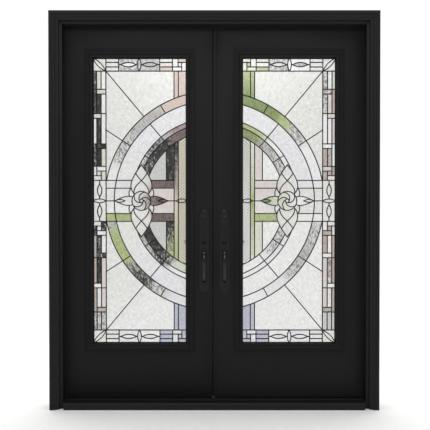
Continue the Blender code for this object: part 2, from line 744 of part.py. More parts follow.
def slab_mesh(word, side):
    slab = side_block(f"{word}_slab", side, (slab_inner, slab_outer), (slab_front, JAMB_DEPTH), (slab_foot, slab_head))
    hole_half = lite_width / 2 - LITE_LAP
    hole_rise = lite_height / 2 - LITE_LAP
    cutters = [side_block("lite_hole", side, (lite_centre - hole_half, lite_centre + hole_half),
                          (slab_front - 0.01, JAMB_DEPTH + 0.01),
                          (lite_centre_height - hole_rise, lite_centre_height + hole_rise))]
    for from_foot in (HINGE_FROM_END, SLAB_HEIGHT / 2, SLAB_HEIGHT - HINGE_FROM_END):
        centre = slab_foot + from_foot
        half = HINGE_HEIGHT / 2 + FIT
        cutters.append(side_block("pocket", side, (slab_outer - HINGE_PLATE - FIT, slab_outer + 0.001),
                                  (JAMB_DEPTH - HINGE_LEAF - FIT, JAMB_DEPTH + 0.001),
                                  (centre - half, centre + half)))
    return combine(slab, cutters)


def grip_mesh(name, x):
    # Hand grip, widest at the top, whose ends curve back to stand on the plate
    foot = plate_front - FIT
    steps = 10
    path = []
    sizes = []
    for step in range(steps + 1):
        t = step / steps
        swing = pi * t
        depth = GRIP_REACH * sin(swing) ** 0.45 if 0 < step < steps else 0.0
        lean = copysign(abs(cos(swing)) ** 0.8, cos(swing))
        height = GRIP_TOP - GRIP_LENGTH / 2 + (GRIP_LENGTH / 2 - GRIP_TOP_WIDTH / 2) * lean
        path.append((x, foot - depth, height))
        width = GRIP_TOP_WIDTH + (GRIP_FOOT_WIDTH - GRIP_TOP_WIDTH) * t
        sizes.append((width / 2, width * 0.34))
    return bent_bar(name, path, sizes, 2)


def thumb_mesh(name, x):
    # Curved thumb piece that pivots in the plate's slot
    outline = [(plate_front + PLATE_THICKNESS - 0.0004, 0.0015), (plate_front - 0.004, 0.0025),
               (plate_front - THUMB_REACH * 0.6, 0.0045), (plate_front - THUMB_REACH, 0.0015),
               (plate_front - THUMB_REACH, -0.001), (plate_front - THUMB_REACH * 0.6, 0.0015),
               (plate_front - 0.004, -0.0012), (plate_front + PLATE_THICKNESS - 0.0004, -0.0015)]
    half = THUMB_WIDTH / 2
    return loft(name, [[(x + s * half, y, THUMB_HEIGHT + z) for y, z in outline] for s in (-1, 1)])


def lever_mesh(name, side, x):
    # Inside lever: a round neck out of the plate that turns along the door towards the hinges
    start = plate_back + FIT
    neck = 0.011
    path = [(x, start, THUMB_HEIGHT), (x, start + LEVER_REACH * 0.7, THUMB_HEIGHT),
            (x + side * 0.006, start + LEVER_REACH * 0.93, THUMB_HEIGHT),
            (x + side * 0.020, start + LEVER_REACH, THUMB_HEIGHT),
            (x + side * LEVER_LENGTH * 0.6, start + LEVER_REACH, THUMB_HEIGHT),
            (x + side * LEVER_LENGTH, start + LEVER_REACH - 0.006, THUMB_HEIGHT)]
    sizes = [(neck, neck), (neck * 0.9, neck * 0.9), (neck * 0.9, neck * 0.85), (neck * 0.9, neck * 0.6),
             (neck * 0.85, neck * 0.5), (neck * 0.6, neck * 0.4)]
    return bent_bar(name, path, sizes)


def build_door(word, side):
    axis = bpy.data.objects.new(f"{word}_hinge_axis", None)
    bpy.context.collection.objects.link(axis)
    axis.location = (side * hinge_axis_u, hinge_axis_y, 0)

    add_object(f"{word}_slab", slab_mesh(word, side), paint, axis)
    outside = lite_frame(f"{word}_lite_frame_exterior", side, slab_front, -1)
    smooth(add_object(f"{word}_lite_frame_exterior", outside, paint, axis), 30)
    inside_gap = glass_back + FIT - (JAMB_DEPTH - LITE_LEG)
    inside = lite_frame(f"{word}_lite_frame_interior", side, JAMB_DEPTH, 1)
    bm = bmesh.new()
    bm.from_mesh(inside)
    # The inside leg reaches in to the back of the glass
    reach = [v for v in bm.verts if v.co.y < JAMB_DEPTH - LITE_LEG / 2]
    bmesh.ops.translate(bm, vec=(0, inside_gap, 0), verts=reach)
    inside = mesh_from(bm, f"{word}_lite_frame_interior")
    smooth(add_object(f"{word}_lite_frame_interior", inside, paint, axis), 30)
    half = sight_half + GLASS_BITE
    rise = sight_rise + GLASS_BITE
    glass = side_block(f"{word}_glass", side, (lite_centre - half, lite_centre + half), (glass_front, glass_back),
                       (lite_centre_height - rise, lite_centre_height + rise))
    add_object(f"{word}_glass", glass, leaded_glass, axis)
    add_object(f"{word}_came", came_mesh(f"{word}_came", side), lead, axis)

    x = side * plate_u
    plate = plate_mesh(f"{word}_exterior_plate", x, slab_front - FIT, plate_front, PLATE_CENTRE_HEIGHT)
    slot_half = THUMB_WIDTH / 2 + 0.0008
    slot = block("slot", (x - slot_half, x + slot_half), (plate_front - 0.01, slab_front + 0.01),
                 (THUMB_HEIGHT - 0.0045, THUMB_HEIGHT + 0.0045))
    smooth(add_object(f"{word}_exterior_plate", combine(plate, [slot]), hardware, axis))
    inner_plate = plate_mesh(f"{word}_interior_plate", x, JAMB_DEPTH + FIT, plate_back, PLATE_CENTRE_HEIGHT)
    smooth(add_object(f"{word}_interior_plate", inner_plate, hardware, axis))
    smooth(add_object(f"{word}_grip", grip_mesh(f"{word}_grip", x), hardware, axis), 50)

    thumb_axis = bpy.data.objects.new(f"{word}_thumb_axis", None)
    bpy.context.collection.objects.link(thumb_axis)
    thumb_axis.location = (x, plate_front + PLATE_THICKNESS / 2, THUMB_HEIGHT)
    smooth(add_object(f"{word}_thumb_latch", thumb_mesh(f"{word}_thumb_latch", x), hardware, thumb_axis), 60)
    lever_axis = bpy.data.objects.new(f"{word}_lever_axis", None)
    bpy.context.collection.objects.link(lever_axis)
    lever_axis.location = (x, plate_back, THUMB_HEIGHT)
    smooth(add_object(f"{word}_lever", lever_mesh(f"{word}_lever", side, x), hardware, lever_axis), 50)

    sweep_middle = (slab_front + JAMB_DEPTH) / 2
    sweep = side_block(f"{word}_sweep", side, (slab_inner + 0.002, slab_outer - 0.002),
                       (sweep_middle - SWEEP_THICKNESS / 2, sweep_middle + SWEEP_THICKNESS / 2),
                       (slab_foot - FIT - SWEEP_HEIGHT, slab_foot - FIT))
    add_object(f"{word}_sweep", sweep, seal_foam, axis)
    hang_hinges(word, side, axis)
    return axis


build_door("left", LEFT)
right_axis = build_door("right", RIGHT)

# Strip that closes the meeting gap, fixed to the right-hand door's edge
astragal = block("astragal", (ASTRAGAL_GAP - slab_inner, slab_inner - FIT), (slab_front, JAMB_DEPTH),
                 (slab_foot, slab_head))
add_object("astragal", astragal, trim_paint, right_axis)
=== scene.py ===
import json
from random import Random
from math import acos, atan2, copysign, cos, hypot, pi, radians, sin, sqrt

import bmesh
import bpy
from mathutils import Matrix, Vector
from mathutils.geometry import delaunay_2d_cdt


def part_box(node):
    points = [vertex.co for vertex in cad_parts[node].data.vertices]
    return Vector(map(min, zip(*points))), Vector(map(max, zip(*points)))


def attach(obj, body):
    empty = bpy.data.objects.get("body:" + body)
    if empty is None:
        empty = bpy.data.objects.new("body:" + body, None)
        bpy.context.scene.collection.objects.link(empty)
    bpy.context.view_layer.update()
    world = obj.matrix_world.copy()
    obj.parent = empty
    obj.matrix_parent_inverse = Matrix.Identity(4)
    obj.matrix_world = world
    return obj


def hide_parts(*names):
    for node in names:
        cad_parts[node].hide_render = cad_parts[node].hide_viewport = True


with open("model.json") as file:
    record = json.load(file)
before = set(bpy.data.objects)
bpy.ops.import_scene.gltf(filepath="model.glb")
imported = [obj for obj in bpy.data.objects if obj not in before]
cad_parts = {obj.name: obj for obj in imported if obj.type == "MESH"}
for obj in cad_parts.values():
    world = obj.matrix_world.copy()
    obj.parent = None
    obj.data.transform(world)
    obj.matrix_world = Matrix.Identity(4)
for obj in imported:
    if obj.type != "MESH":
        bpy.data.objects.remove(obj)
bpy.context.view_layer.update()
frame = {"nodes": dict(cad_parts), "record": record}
scene = bpy.context.scene
sides = {"left": -1, "right": 1}
print("scene: frame loaded")


# Camera and studio

studio = {"cameraPlace": (0.0035, -4.232, 1.093), "cameraTilt": 89.17, "lens": 66.81,
          "backdrop": 1.02, "room": 0.33, "turnsPale": (-0.1, 0.5), "ground": 0.85,
          "horizon": (0.0, -0.01), "lightAim": (0, 0, 1.05),
          "frontPower": 250.0, "frontPlace": (0.0, -9.5, 4.6), "frontSize": 3.0,
          "topPower": 250.0, "topPlace": (0.0, 0.2, 5.2), "topSize": 6.0,
          "floorSize": 5.2, "floorDark": "#f4f4f3", "floorLight": "#f8f8f7", "floorClouds": 0.8,
          "floorConstants": {"Roughness": 0.8, "Specular IOR Level": 0.1}}


def linearColour(hexText):
    channels = [int(hexText[i:i + 2], 16) / 255 for i in (1, 3, 5)]
    return [c / 12.92 if c <= 0.04045 else ((c + 0.055) / 1.055) ** 2.4 for c in channels] + [1.0]


def addNode(tree, kind, settings=None, inputs=None):
    # One node with its settings; an input is a value or another node's output to link
    node = tree.nodes.new(kind)
    for key, value in (settings or {}).items():
        setattr(node, key, value)
    for key, value in (inputs or {}).items():
        if isinstance(value, bpy.types.NodeSocket):
            tree.links.new(value, node.inputs[key])
        else:
            node.inputs[key].default_value = value
    return node


def pick(look, names):
    return [look[name] for name in names.split()]


def noiseAt(tree, place, scale, detail=2.0, distortion=0.0):
    return addNode(tree, "ShaderNodeTexNoise", inputs={"Vector": place, "Scale": scale, "Detail": detail,
                                                       "Distortion": distortion}).outputs["Fac"]


def ranged(tree, value, low, high, start=0.0, end=1.0):
    # The value's way from low to high, as a way from start to end
    return addNode(tree, "ShaderNodeMapRange", inputs={"Value": value, "From Min": low, "From Max": high,
                                                       "To Min": start, "To Max": end}).outputs["Result"]


def maths(tree, operation, *values, clamped=False):
    settings = {"operation": operation, "use_clamp": clamped}
    return addNode(tree, "ShaderNodeMath", settings, dict(enumerate(values))).outputs[0]


def mixed(tree, share, first, second):
    return addNode(tree, "ShaderNodeMix", {"data_type": "RGBA"}, {0: share, 6: first, 7: second}).outputs[2]


def mapped(tree, place, key, value):
    return addNode(tree, "ShaderNodeMapping", inputs={"Vector": place, key: value}).outputs["Vector"]


def relieved(tree, shader, height, strength, depth):
    bump = addNode(tree, "ShaderNodeBump", inputs={"Height": height, "Strength": strength, "Distance": depth})
    tree.links.new(bump.outputs["Normal"], shader.inputs["Normal"])


def newMaterial(name, constants):
    # A new material with its tree, its shader and where on the object each point is
    material = bpy.data.materials.new(name)
    material.use_nodes = True
    tree = material.node_tree
    shader = tree.nodes["Principled BSDF"]
    for key, value in constants.items():
        shader.inputs[key].default_value = value
    return material, tree, shader, addNode(tree, "ShaderNodeTexCoord").outputs["Object"]


def linked(name, data):
    thing = bpy.data.objects.new(name, data)
    scene.collection.objects.link(thing)
    return thing


def softLight(name, place, power, size):
    # A square soft box turned towards the middle of the doors
    data = bpy.data.lights.new(name, "AREA")
    data.energy = power
    data.size = size
    light = linked(name, data)
    light.location = place
    light.rotation_euler = (Vector(studio["lightAim"]) - Vector(place)).to_track_quat("-Z", "Y").to_euler()


def setStudio():
    cameraData = bpy.data.cameras.new("camera")
    cameraData.lens = studio["lens"]
    cameraData.sensor_width = 36
    camera = linked("camera", cameraData)
    camera.location = studio["cameraPlace"]
    camera.rotation_euler = (radians(studio["cameraTilt"]), 0, 0)
    scene.camera = camera
    scene.view_settings.view_transform = "Standard"
    world = bpy.data.worlds.new("studio")
    world.use_nodes = True
    # A white backdrop behind the doors, a dimmer room in front, and below the horizon as pale as the floor
    tree, background = world.node_tree, world.node_tree.nodes["Background"]
    heading = addNode(tree, "ShaderNodeTexCoord").outputs["Generated"]
    parts = addNode(tree, "ShaderNodeSeparateXYZ", inputs={"Vector": heading}).outputs
    walls = ranged(tree, parts["Y"], *studio["turnsPale"], studio["room"], studio["backdrop"])
    ground = ranged(tree, parts["Z"], *studio["horizon"], 0.0, studio["ground"])
    tree.links.new(maths(tree, "MAXIMUM", walls, ground), background.inputs["Strength"])
    background.inputs["Color"].default_value = (1, 1, 1, 1)
    scene.world = world
    for word in ("front", "top"):
        softLight(f"{word}Light", *pick(studio, f"{word}Place {word}Power {word}Size"))
    half = studio["floorSize"] / 2
    corners = [(-half, -half, 0), (half, -half, 0), (half, half, 0), (-half, half, 0)]
    mesh = bpy.data.meshes.new("floor")
    mesh.from_pydata(corners, [], [(0, 1, 2, 3)])
    floor = linked("floor", mesh)
    material, tree, shader, spot = newMaterial("paleStudioFloor", studio["floorConstants"])
    clouds = noiseAt(tree, spot, studio["floorClouds"])
    tone = mixed(tree, clouds, *map(linearColour, pick(studio, "floorDark floorLight")))
    tree.links.new(tone, shader.inputs["Base Color"])
    mesh.materials.append(material)


setStudio()
print("scene: studio set")


# Materials, each named for the real finish

def noiseFinish(name, look):
    # A finish whose tone, roughness and relief follow one noise; a second, finer noise may give the relief
    material, tree, shader, spot = newMaterial(name, look["constants"])
    place = mapped(tree, spot, "Scale", look["drawnOut"]) if "drawnOut" in look else spot
    cloud = noiseAt(tree, place, *look["noise"])
    tone = mixed(tree, cloud, *map(linearColour, look["tones"]))
    sheen = ranged(tree, cloud, 0.0, 1.0, *look["roughness"])
    tree.links.new(tone, shader.inputs["Base Color"])
    tree.links.new(sheen, shader.inputs["Roughness"])
    if "relief" in look:
        height = noiseAt(tree, spot, *look["reliefNoise"]) if "reliefNoise" in look else cloud
        relieved(tree, shader, height, *look["relief"])
    return material


# Satin acrylic paint sprayed on moulded fibreglass: near black, a soft sheen and a faint orange peel
paintLook = {"constants": {"Specular IOR Level": 0.08}, "noise": (1 / 0.5, 3.0),
             "tones": ("#1c1c1d", "#1f1f20"), "roughness": (0.42, 0.50), "relief": (0.25, 0.00003),
             "reliefNoise": (1 / 0.0035, 2.0)}
trimLook = dict(paintLook, noise=(1 / 0.3, 3.0), tones=("#202021", "#242425"), reliefNoise=(1 / 0.003, 2.0))
# The meeting strip's paint is the door's paint a shade darker: painted shade that tones down the sheen its
# eased edges catch
stripShadedLook = dict(paintLook, noise=(1 / 0.3, 3.0), tones=("#1a1a1b", "#1d1d1e"))
# Polyurethane foam in a thin black skin: matt, slightly wrinkled
foamLook = {"constants": {"Specular IOR Level": 0.2}, "noise": (140.0, 4.0), "tones": ("#0b0b0c", "#111112"),
            "roughness": (0.7, 0.9), "relief": (0.4, 0.0006)}
# Extruded aluminium, black anodised: fine die lines run along it
sillFinish = {"constants": {"Metallic": 0.2, "Specular IOR Level": 0.2}, "drawnOut": (3.0, 260.0, 260.0),
              "noise": (1.0, 3.0), "tones": ("#18181a", "#1e1e20"), "roughness": (0.34, 0.5),
              "relief": (0.2, 0.0002)}
# Cast zinc with a baked satin black coat: a little glossier than the door, slightly uneven
coatLook = {"constants": {"Specular IOR Level": 0.24}, "noise": (45.0, 4.0), "tones": ("#0b0b0c", "#101011"),
            "roughness": (0.20, 0.30)}
# The same coat where hands have rubbed it smooth
gripFinish = dict(coatLook, constants={"Specular IOR Level": 0.44}, roughness=(0.12, 0.22))
# Lead came and its solder, blackened with patina: dull metal with paler rubbed patches
leadPatina = {"constants": {"Metallic": 0.2, "Specular IOR Level": 0.2}, "noise": (110.0, 5.0),
              "tones": ("#111112", "#29292a"), "roughness": (0.4, 0.62), "relief": (0.3, 0.0004)}

glassBody = {"Roughness": 0.22, "IOR": 1.5, "Transmission Weight": 0.86}
streakLook = {"colour": "#1c1b1a", "detail": 3.0, "swirl": 0.9, "push": 0.20, "low": 0.64, "high": 0.69}
veilRange = (0.3, 0.7)
glassRelief = 0.5
glassLooks = {
    "field": {"rippleSize": 0.020, "stretch": 0.8, "height": 0.0005, "streakSize": 0.012, "veil": 0.09},
    "water": {"rippleSize": 0.014, "stretch": 0.5, "height": 0.0010, "streakSize": 0.0080, "veil": 0.08},
    # Real reeds are finer; a 12 mm pitch still shows at the photo's size
    # The reeded kind's last entry sets the painted shade along the reeds: how far the colour darkens between
    # them
    "reeded": {"rippleSize": 0.020, "stretch": 0.8, "height": 0.0004, "streakSize": 0.016, "veil": 0.04,
               "reedPitch": 0.0120, "reedShadeLines": (0.25, 0.50, 0.40)},
}


def artGlass(name, look, reedTurn=None):
    # Rolled art glass about 3 mm thick, seen through but not clear: each piece's own tint is in its
    # attribute, dark streaks lie in the wavy kinds, and the reeded kind has slanting reeds rolled into it,
    # with painted shade darkening its colour in each groove
    material, tree, shader, spot = newMaterial(name, glassBody)
    tint = addNode(tree, "ShaderNodeAttribute", {"attribute_name": "tint"}).outputs["Color"]
    streakAmount = addNode(tree, "ShaderNodeAttribute", {"attribute_name": "streak"}).outputs["Fac"]
    drawn = mapped(tree, spot, "Scale", (1.0, 1.0, look["stretch"]))
    streaks = noiseAt(tree, drawn, 1 / look["streakSize"], streakLook["detail"], streakLook["swirl"])
    # The more streak a piece has, the darker its streaks and the lower the noise that already counts as one
    push, streakLow, streakHigh = pick(streakLook, "push low high")
    sharp = ranged(tree, maths(tree, "MULTIPLY_ADD", streakAmount, push, streaks), streakLow, streakHigh)
    dark = maths(tree, "MULTIPLY", sharp, streakAmount, clamped=True)
    colour = mixed(tree, dark, tint, linearColour(streakLook["colour"]))
    veil = ranged(tree, streaks, *veilRange, 1 - look["veil"] * 2)
    height = noiseAt(tree, drawn, 1 / look["rippleSize"])
    if reedTurn:
        turned = mapped(tree, spot, "Rotation", (0, radians(reedTurn), 0))
        # The wave texture's period is a tenth of a turn divided by its scale
        height = addNode(tree, "ShaderNodeTexWave", {"bands_direction": "X"},
                         {"Vector": turned, "Scale": 2 * pi / 20 / look["reedPitch"]}).outputs["Fac"]
        # Painted shade: the colour darkens towards the low side of each reed, standing in for the shade
        # between reeds
        veil = maths(tree, "MULTIPLY", veil, ranged(tree, height, *look["reedShadeLines"]))
    shaded = addNode(tree, "ShaderNodeVectorMath", {"operation": "SCALE"}, {0: colour, "Scale": veil})
    tree.links.new(shaded.outputs[0], shader.inputs["Base Color"])
    relieved(tree, shader, height, glassRelief, look["height"])
    return material


slabPaint = noiseFinish("satinBlackFibreglassPaint", paintLook)
trimPaint = noiseFinish("satinBlackTrimPaint", trimLook)
stripShadedPaint = noiseFinish("satinBlackStripPaintShaded", stripShadedLook)
sealSkin = noiseFinish("foamWeatherstripSkin", foamLook)
sillMetal = noiseFinish("blackAnodisedAluminium", sillFinish)
hardwareCoat = noiseFinish("satinBlackCoatedZinc", coatLook)
gripCoat = noiseFinish("handRubbedBlackZinc", gripFinish)
leadCame = noiseFinish("blackenedLeadCame", leadPatina)
print("scene: materials made")


# Meshes

def meshFrom(bm, name, smoothAngle=None):
    bmesh.ops.recalc_face_normals(bm, faces=bm.faces)
    mesh = bpy.data.meshes.new(name)
    bm.to_mesh(mesh)
    bm.free()
    if smoothAngle:
        shadeSmooth(mesh, smoothAngle)
    return mesh


def around(count):
    return [2 * pi * i / count for i in range(count)]


def arc(turn, steps, first=0):
    # The angles from first / steps of the turn up to the whole of it
    return [turn * i / steps for i in range(first, steps + 1)]


def skin(bm, rings, looped=False):
    # Faces between rows of points, with end caps unless the rows close into a loop
    rows = [[bm.verts.new(point) for point in ring] for ring in rings]
    pairs = list(zip(rows, rows[1:]))
    if looped:
        pairs.append((rows[-1], rows[0]))
    for first, second in pairs:
        for i, vert in enumerate(first):
            j = (i + 1) % len(first)
            bm.faces.new((vert, first[j], second[j], second[i]))
    if not looped:
        bm.faces.new(rows[0])
        bm.faces.new(rows[-1])


def skinned(rings, name, smoothAngle=None, looped=False):
    bm = bmesh.new()
    skin(bm, rings, looped)
    return meshFrom(bm, name, smoothAngle)


def shadeSmooth(mesh, angle):
    mesh.shade_smooth()
    mesh.set_sharp_from_angle(angle=radians(angle))


def middleOf(low, high):
    return (low.x + high.x) / 2, (low.z + high.z) / 2


def addPiece(name, mesh, materials, body, replaces=()):
    piece = linked(name, mesh)
    if mesh.materials:
        mesh.materials.clear()
    for material in materials:
        mesh.materials.append(material)
    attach(piece, body)
    if replaces:
        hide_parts(*replaces)


def settledMesh(helper, name):
    # The helper's evaluated result as a plain mesh; the helper and its modifiers go
    bpy.context.view_layer.update()
    graph = bpy.context.evaluated_depsgraph_get()
    mesh = bpy.data.meshes.new_from_object(helper.evaluated_get(graph), depsgraph=graph)
    mesh.name = name
    bpy.data.objects.remove(helper, do_unlink=True)
    return mesh


easeLook = {"merge": 0.00001, "flat": 0.3, "segments": 3, "sharp": 28, "smooth": 35}


def easedCopy(node, width):
    # The CAD node's shape with its sharp edges eased, as paint and wear leave them
    bm = bmesh.new()
    bm.from_mesh(frame["nodes"][node].data)
    bmesh.ops.remove_doubles(bm, verts=bm.verts, dist=easeLook["merge"])
    bmesh.ops.dissolve_limit(bm, angle_limit=radians(easeLook["flat"]), verts=bm.verts, edges=bm.edges)
    helper = linked("helper", meshFrom(bm, node))
    bevel = helper.modifiers.new("ease", "BEVEL")
    bevel.width = width
    bevel.segments = easeLook["segments"]
    bevel.limit_method = "ANGLE"
    bevel.angle_limit = radians(easeLook["sharp"])
    result = settledMesh(helper, node)
    shadeSmooth(result, easeLook["smooth"])
    return result


def cutAway(mesh, tools, name):
    # The mesh less some boxes, each given by two corners
    helper = linked("helper", mesh)
    cutters = []
    for low, high in tools:
        bm = bmesh.new()
        bmesh.ops.create_cube(bm, size=1)
        bmesh.ops.scale(bm, vec=Vector(high) - Vector(low), verts=bm.verts)
        bmesh.ops.translate(bm, vec=(Vector(high) + Vector(low)) / 2, verts=bm.verts)
        cutter = linked("cutter", meshFrom(bm, "cutter"))
        cutters.append(cutter)
        cut = helper.modifiers.new("cut", "BOOLEAN")
        cut.operation = "DIFFERENCE"
        cut.object = cutter
    result = settledMesh(helper, name)
    for cutter in cutters:
        bpy.data.objects.remove(cutter, do_unlink=True)
    return result


# Plain pieces that keep the CAD shape: slabs, jambs, seals, sweeps, meeting strip

plainPieces = {
    "slab": {"nodes": ("left_slab", "right_slab"), "ease": 0.0012, "material": slabPaint, "slot": "slab"},
    "jamb": {"nodes": ("jamb_left", "jamb_right", "jamb_head"), "ease": 0.0010, "material": trimPaint,
             "slot": "trim"},
    "strip": {"nodes": ("astragal",), "ease": 0.0006, "material": stripShadedPaint, "slot": "trim"},
    "seal": {"nodes": ("weatherstrip_left", "weatherstrip_right", "weatherstrip_head"), "ease": 0.0009,
             "material": sealSkin, "slot": "seal"},
    "sweep": {"nodes": ("left_sweep", "right_sweep"), "ease": 0.0008, "material": sealSkin, "slot": "seal"},
}
bodyOf = {node: body for body, nodes in frame["record"]["behaviour"]["bodies"].items() for node in nodes}


def makePlainPieces():
    for look in plainPieces.values():
        for node in look["nodes"]:
            mesh = easedCopy(node, look["ease"])
            addPiece(node + "Finish", mesh, [look["material"]], bodyOf[node], [node])


makePlainPieces()
print("scene: slabs, jambs and seals finished")


# Sill: a nose, a drained channel with ribs across its floor, and a raised cap under the doors

sillLook = {"noseHeight": 0.031, "tread": (-0.0262, 0.0365), "treadEnd": (0.008, 0.0385),
            "channel": (0.0092, 0.0500, 0.022), "cap": (0.0515, 0.0600, 0.0402), "capFall": 0.0408,
            "ribPitch": 0.0075, "ribHeight": 0.0016, "ribHalf": (0.0012, 0.0006), "noseEnd": 0.0095,
            "ease": 0.001, "fit": 0.0003, "past": 0.01, "tall": 0.06}


def sillOutline(low, high):
    # (y, z) round the section, from the back of the underside
    noseHeight, (treadY, treadZ), (endY, endZ) = pick(sillLook, "noseHeight tread treadEnd")
    (wall0, wall1, floorZ), (cap0, cap1, capZ), fall = pick(sillLook, "channel cap capFall")
    ease, pitch, ribHeight, (ribFoot, ribTop) = pick(sillLook, "ease ribPitch ribHeight ribHalf")
    ribZ = floorZ + ribHeight
    points = [(high.y, 0), (low.y, 0), (low.y, noseHeight)]
    points += [(low.y + (treadY - low.y) * (1 - cos(a)), noseHeight + (treadZ - noseHeight) * sin(a))
               for a in arc(pi / 2, 5, 1)]
    points += [(endY - ease, endZ), (endY, endZ - 0.6 * ease), (wall0, floorZ)]
    ribs = int((wall1 - wall0) / pitch) - 1
    for rib in range(ribs):
        ribY = (wall0 + wall1) / 2 + (rib - (ribs - 1) / 2) * pitch
        points += [(ribY - ribFoot, floorZ), (ribY - ribTop, ribZ), (ribY + ribTop, ribZ),
                   (ribY + ribFoot, floorZ)]
    points += [(wall1 + 0.4 * ease, floorZ), (cap0, capZ - ease), (cap0 + 1.2 * ease, capZ),
               (cap1 - 1.2 * ease, capZ), (cap1, capZ - ease), (cap1 + 3 * ease, fall), (high.y - ease, fall),
               (high.y, fall - ease)]
    return points


def makeSill():
    low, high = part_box("sill")
    section = sillOutline(low, high)
    mesh = skinned([[(x, y, z) for y, z in section] for x in (low.x, high.x)], "sill")

    # Both ends are cut back round the jambs, and further back at the nose
    stop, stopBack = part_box("jamb_right")[0].x - sillLook["fit"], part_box("weatherstrip_right")[0].y
    past, tall = sillLook["past"], sillLook["tall"]
    tools = []
    for side in sides.values():
        for start, back in ((stop, stopBack), (stop - sillLook["noseEnd"] + sillLook["fit"], 0.0)):
            ends = sorted((side * start, side * (high.x + past)))
            tools.append(((ends[0], low.y - past, -past), (ends[1], back, tall)))
    mesh = cutAway(mesh, tools, "sill")
    shadeSmooth(mesh, 32)
    addPiece("sillExtrusion", mesh, [sillMetal], "frame", ["sill"])


makeSill()
print("scene: sill made")


# Brick mould

mouldLook = {"flat": 0.0165, "shoulder": 0.0005, "groove": 0.003, "grooveDepth": 0.0028,
             "grooveCurve": 0.7, "edgeDepth": 0.019, "edgeRound": 0.003, "rebate": (0.001, 0.001),
             "corner": 0.002, "quirk": 0.0006, "fit": 0.0003}


def mouldProfile(width, depth):
    # (d inwards from the outer edge, depth out from the wall): rounded edge, flat, groove, then a long ogee
    flat, groove, grooveDepth, corner, (rebateWidth, rebate) = pick(
        mouldLook, "flat groove grooveDepth corner rebate")
    edgeDepth, edgeRound, quirk, grooveCurve = pick(mouldLook, "edgeDepth edgeRound quirk grooveCurve")
    points = [(0, 0)]
    points += [(corner - corner * cos(a), depth - corner + corner * sin(a)) for a in arc(pi / 2, 5)]
    points.append((flat - mouldLook["shoulder"], depth))
    points += [(flat + groove / 2 * (1 - cos(a)), depth - grooveDepth * abs(sin(a)) ** grooveCurve)
               for a in arc(pi, 6)]
    start, end = flat + groove, width - rebateWidth - edgeRound
    points += [(start + (end - start) * t, depth - quirk - (depth - edgeDepth) * (1 - cos(pi * t)) / 2)
               for t in arc(1, 16, 1)]
    inner = edgeDepth - quirk - edgeRound
    points += [(end + edgeRound * sin(a), inner + edgeRound * cos(a)) for a in arc(pi / 2, 5, 1)]
    points += [(end + edgeRound, rebate), (width, rebate), (width, 0)]
    return points


def makeBrickMould():
    low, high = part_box("brickmould_left")
    outer, back = -low.x, high.y
    profile = mouldProfile(high.x - low.x, high.y - low.y)
    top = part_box("brickmould_head")[1].z
    miter = mouldLook["fit"] / 2 * sqrt(2)
    for part, turn in (("left", -1), ("right", 1), ("head", 0)):
        rings = []
        for end in (0, 1):
            if turn:
                rings.append([(turn * (outer - d), back - out, (top - d - miter) if end else 0.0)
                              for d, out in profile])
            else:
                rings.append([((1 if end else -1) * (outer - d - miter), back - out, top - d)
                              for d, out in profile])
        addPiece(f"brickMould_{part}", skinned(rings, "brickMould", 40), [trimPaint], "frame",
                 [f"brickmould_{part}"])


makeBrickMould()
print("scene: brick mould run")


# Lite frames

liteLook = {"face": 0.043, "lap": 0.0206, "edge": 0.0082, "edgeRound": 0.0022, "quirk": 0.0074,
            "quirkPlaces": (0.0052, 0.0060, 0.0074, 0.0080), "quirkDepth": 0.0014, "ridge": 0.0122,
            "ridgeAt": 0.0205, "ridgeRound": 0.0030, "coveEnd": 0.0110, "ogeeFrom": 0.0024,
            "ogeeDrop": 0.0018, "step": 0.0036, "stepDrop": 0.0012, "stepPlaces": (0.0010, 0.0024, 0.0028),
            "lip": 0.0050, "lipWidth": 0.0125, "lipRound": 0.0018, "fit": 0.0003}


def liteProfile(leg):
    # (d inwards from the outer edge, height off the slab): low bead, cove up to a ridge, ogee down to a
    # narrow quirk, and a flat lip by the glass, then the leg
    face, lap, edge, edgeRound, quirk, quirkDepth, fit = pick(
        liteLook, "face lap edge edgeRound quirk quirkDepth fit")
    ridge, ridgeAt, ridgeRound, lip, lipRound, quirkPlaces = pick(
        liteLook, "ridge ridgeAt ridgeRound lip lipRound quirkPlaces")
    step, stepDrop, stepPlaces, coveEnd = pick(liteLook, "step stepDrop stepPlaces coveEnd")
    points = [(0, fit), (0, edge * 0.6)]
    points += [(edgeRound - edgeRound * cos(a), edge * 0.6 + edge * 0.4 * sin(a)) for a in arc(pi / 2, 4, 1)]
    points += zip(quirkPlaces, (edge, quirk - quirkDepth, quirk - quirkDepth, quirk))
    points += [(quirkPlaces[-1] + (ridgeAt - coveEnd) * t,
                quirk + (ridge - quirk) * t ** 2 * (1.6 - 0.6 * t)) for t in arc(5 / 6, 5, 1)]
    points += [(ridgeAt + edgeRound * sin(a), ridge - ridgeRound + ridgeRound * cos(a))
               for a in [pi / 9 * i for i in range(-3, 4)]]
    ogeeFrom, ogeeDrop, lipWidth = pick(liteLook, "ogeeFrom ogeeDrop lipWidth")
    start, end, drop = ridgeAt + ogeeFrom, face - lipWidth, ridge - ogeeDrop
    points += [(start + (end - start) * t, drop - (drop - step) * (1 - cos(pi * t)) / 2)
               for t in arc(1, 7, 1)]
    points += [(end + place, height)
               for place, height in zip(stepPlaces, (step - stepDrop, step - stepDrop, lip))]
    points += [(face - lipRound * (1 - sin(a)), lip - lipRound * (1 - cos(a))) for a in arc(pi / 2, 4)]
    points += [(face, -leg), (lap, -leg), (lap, fit)]
    return points


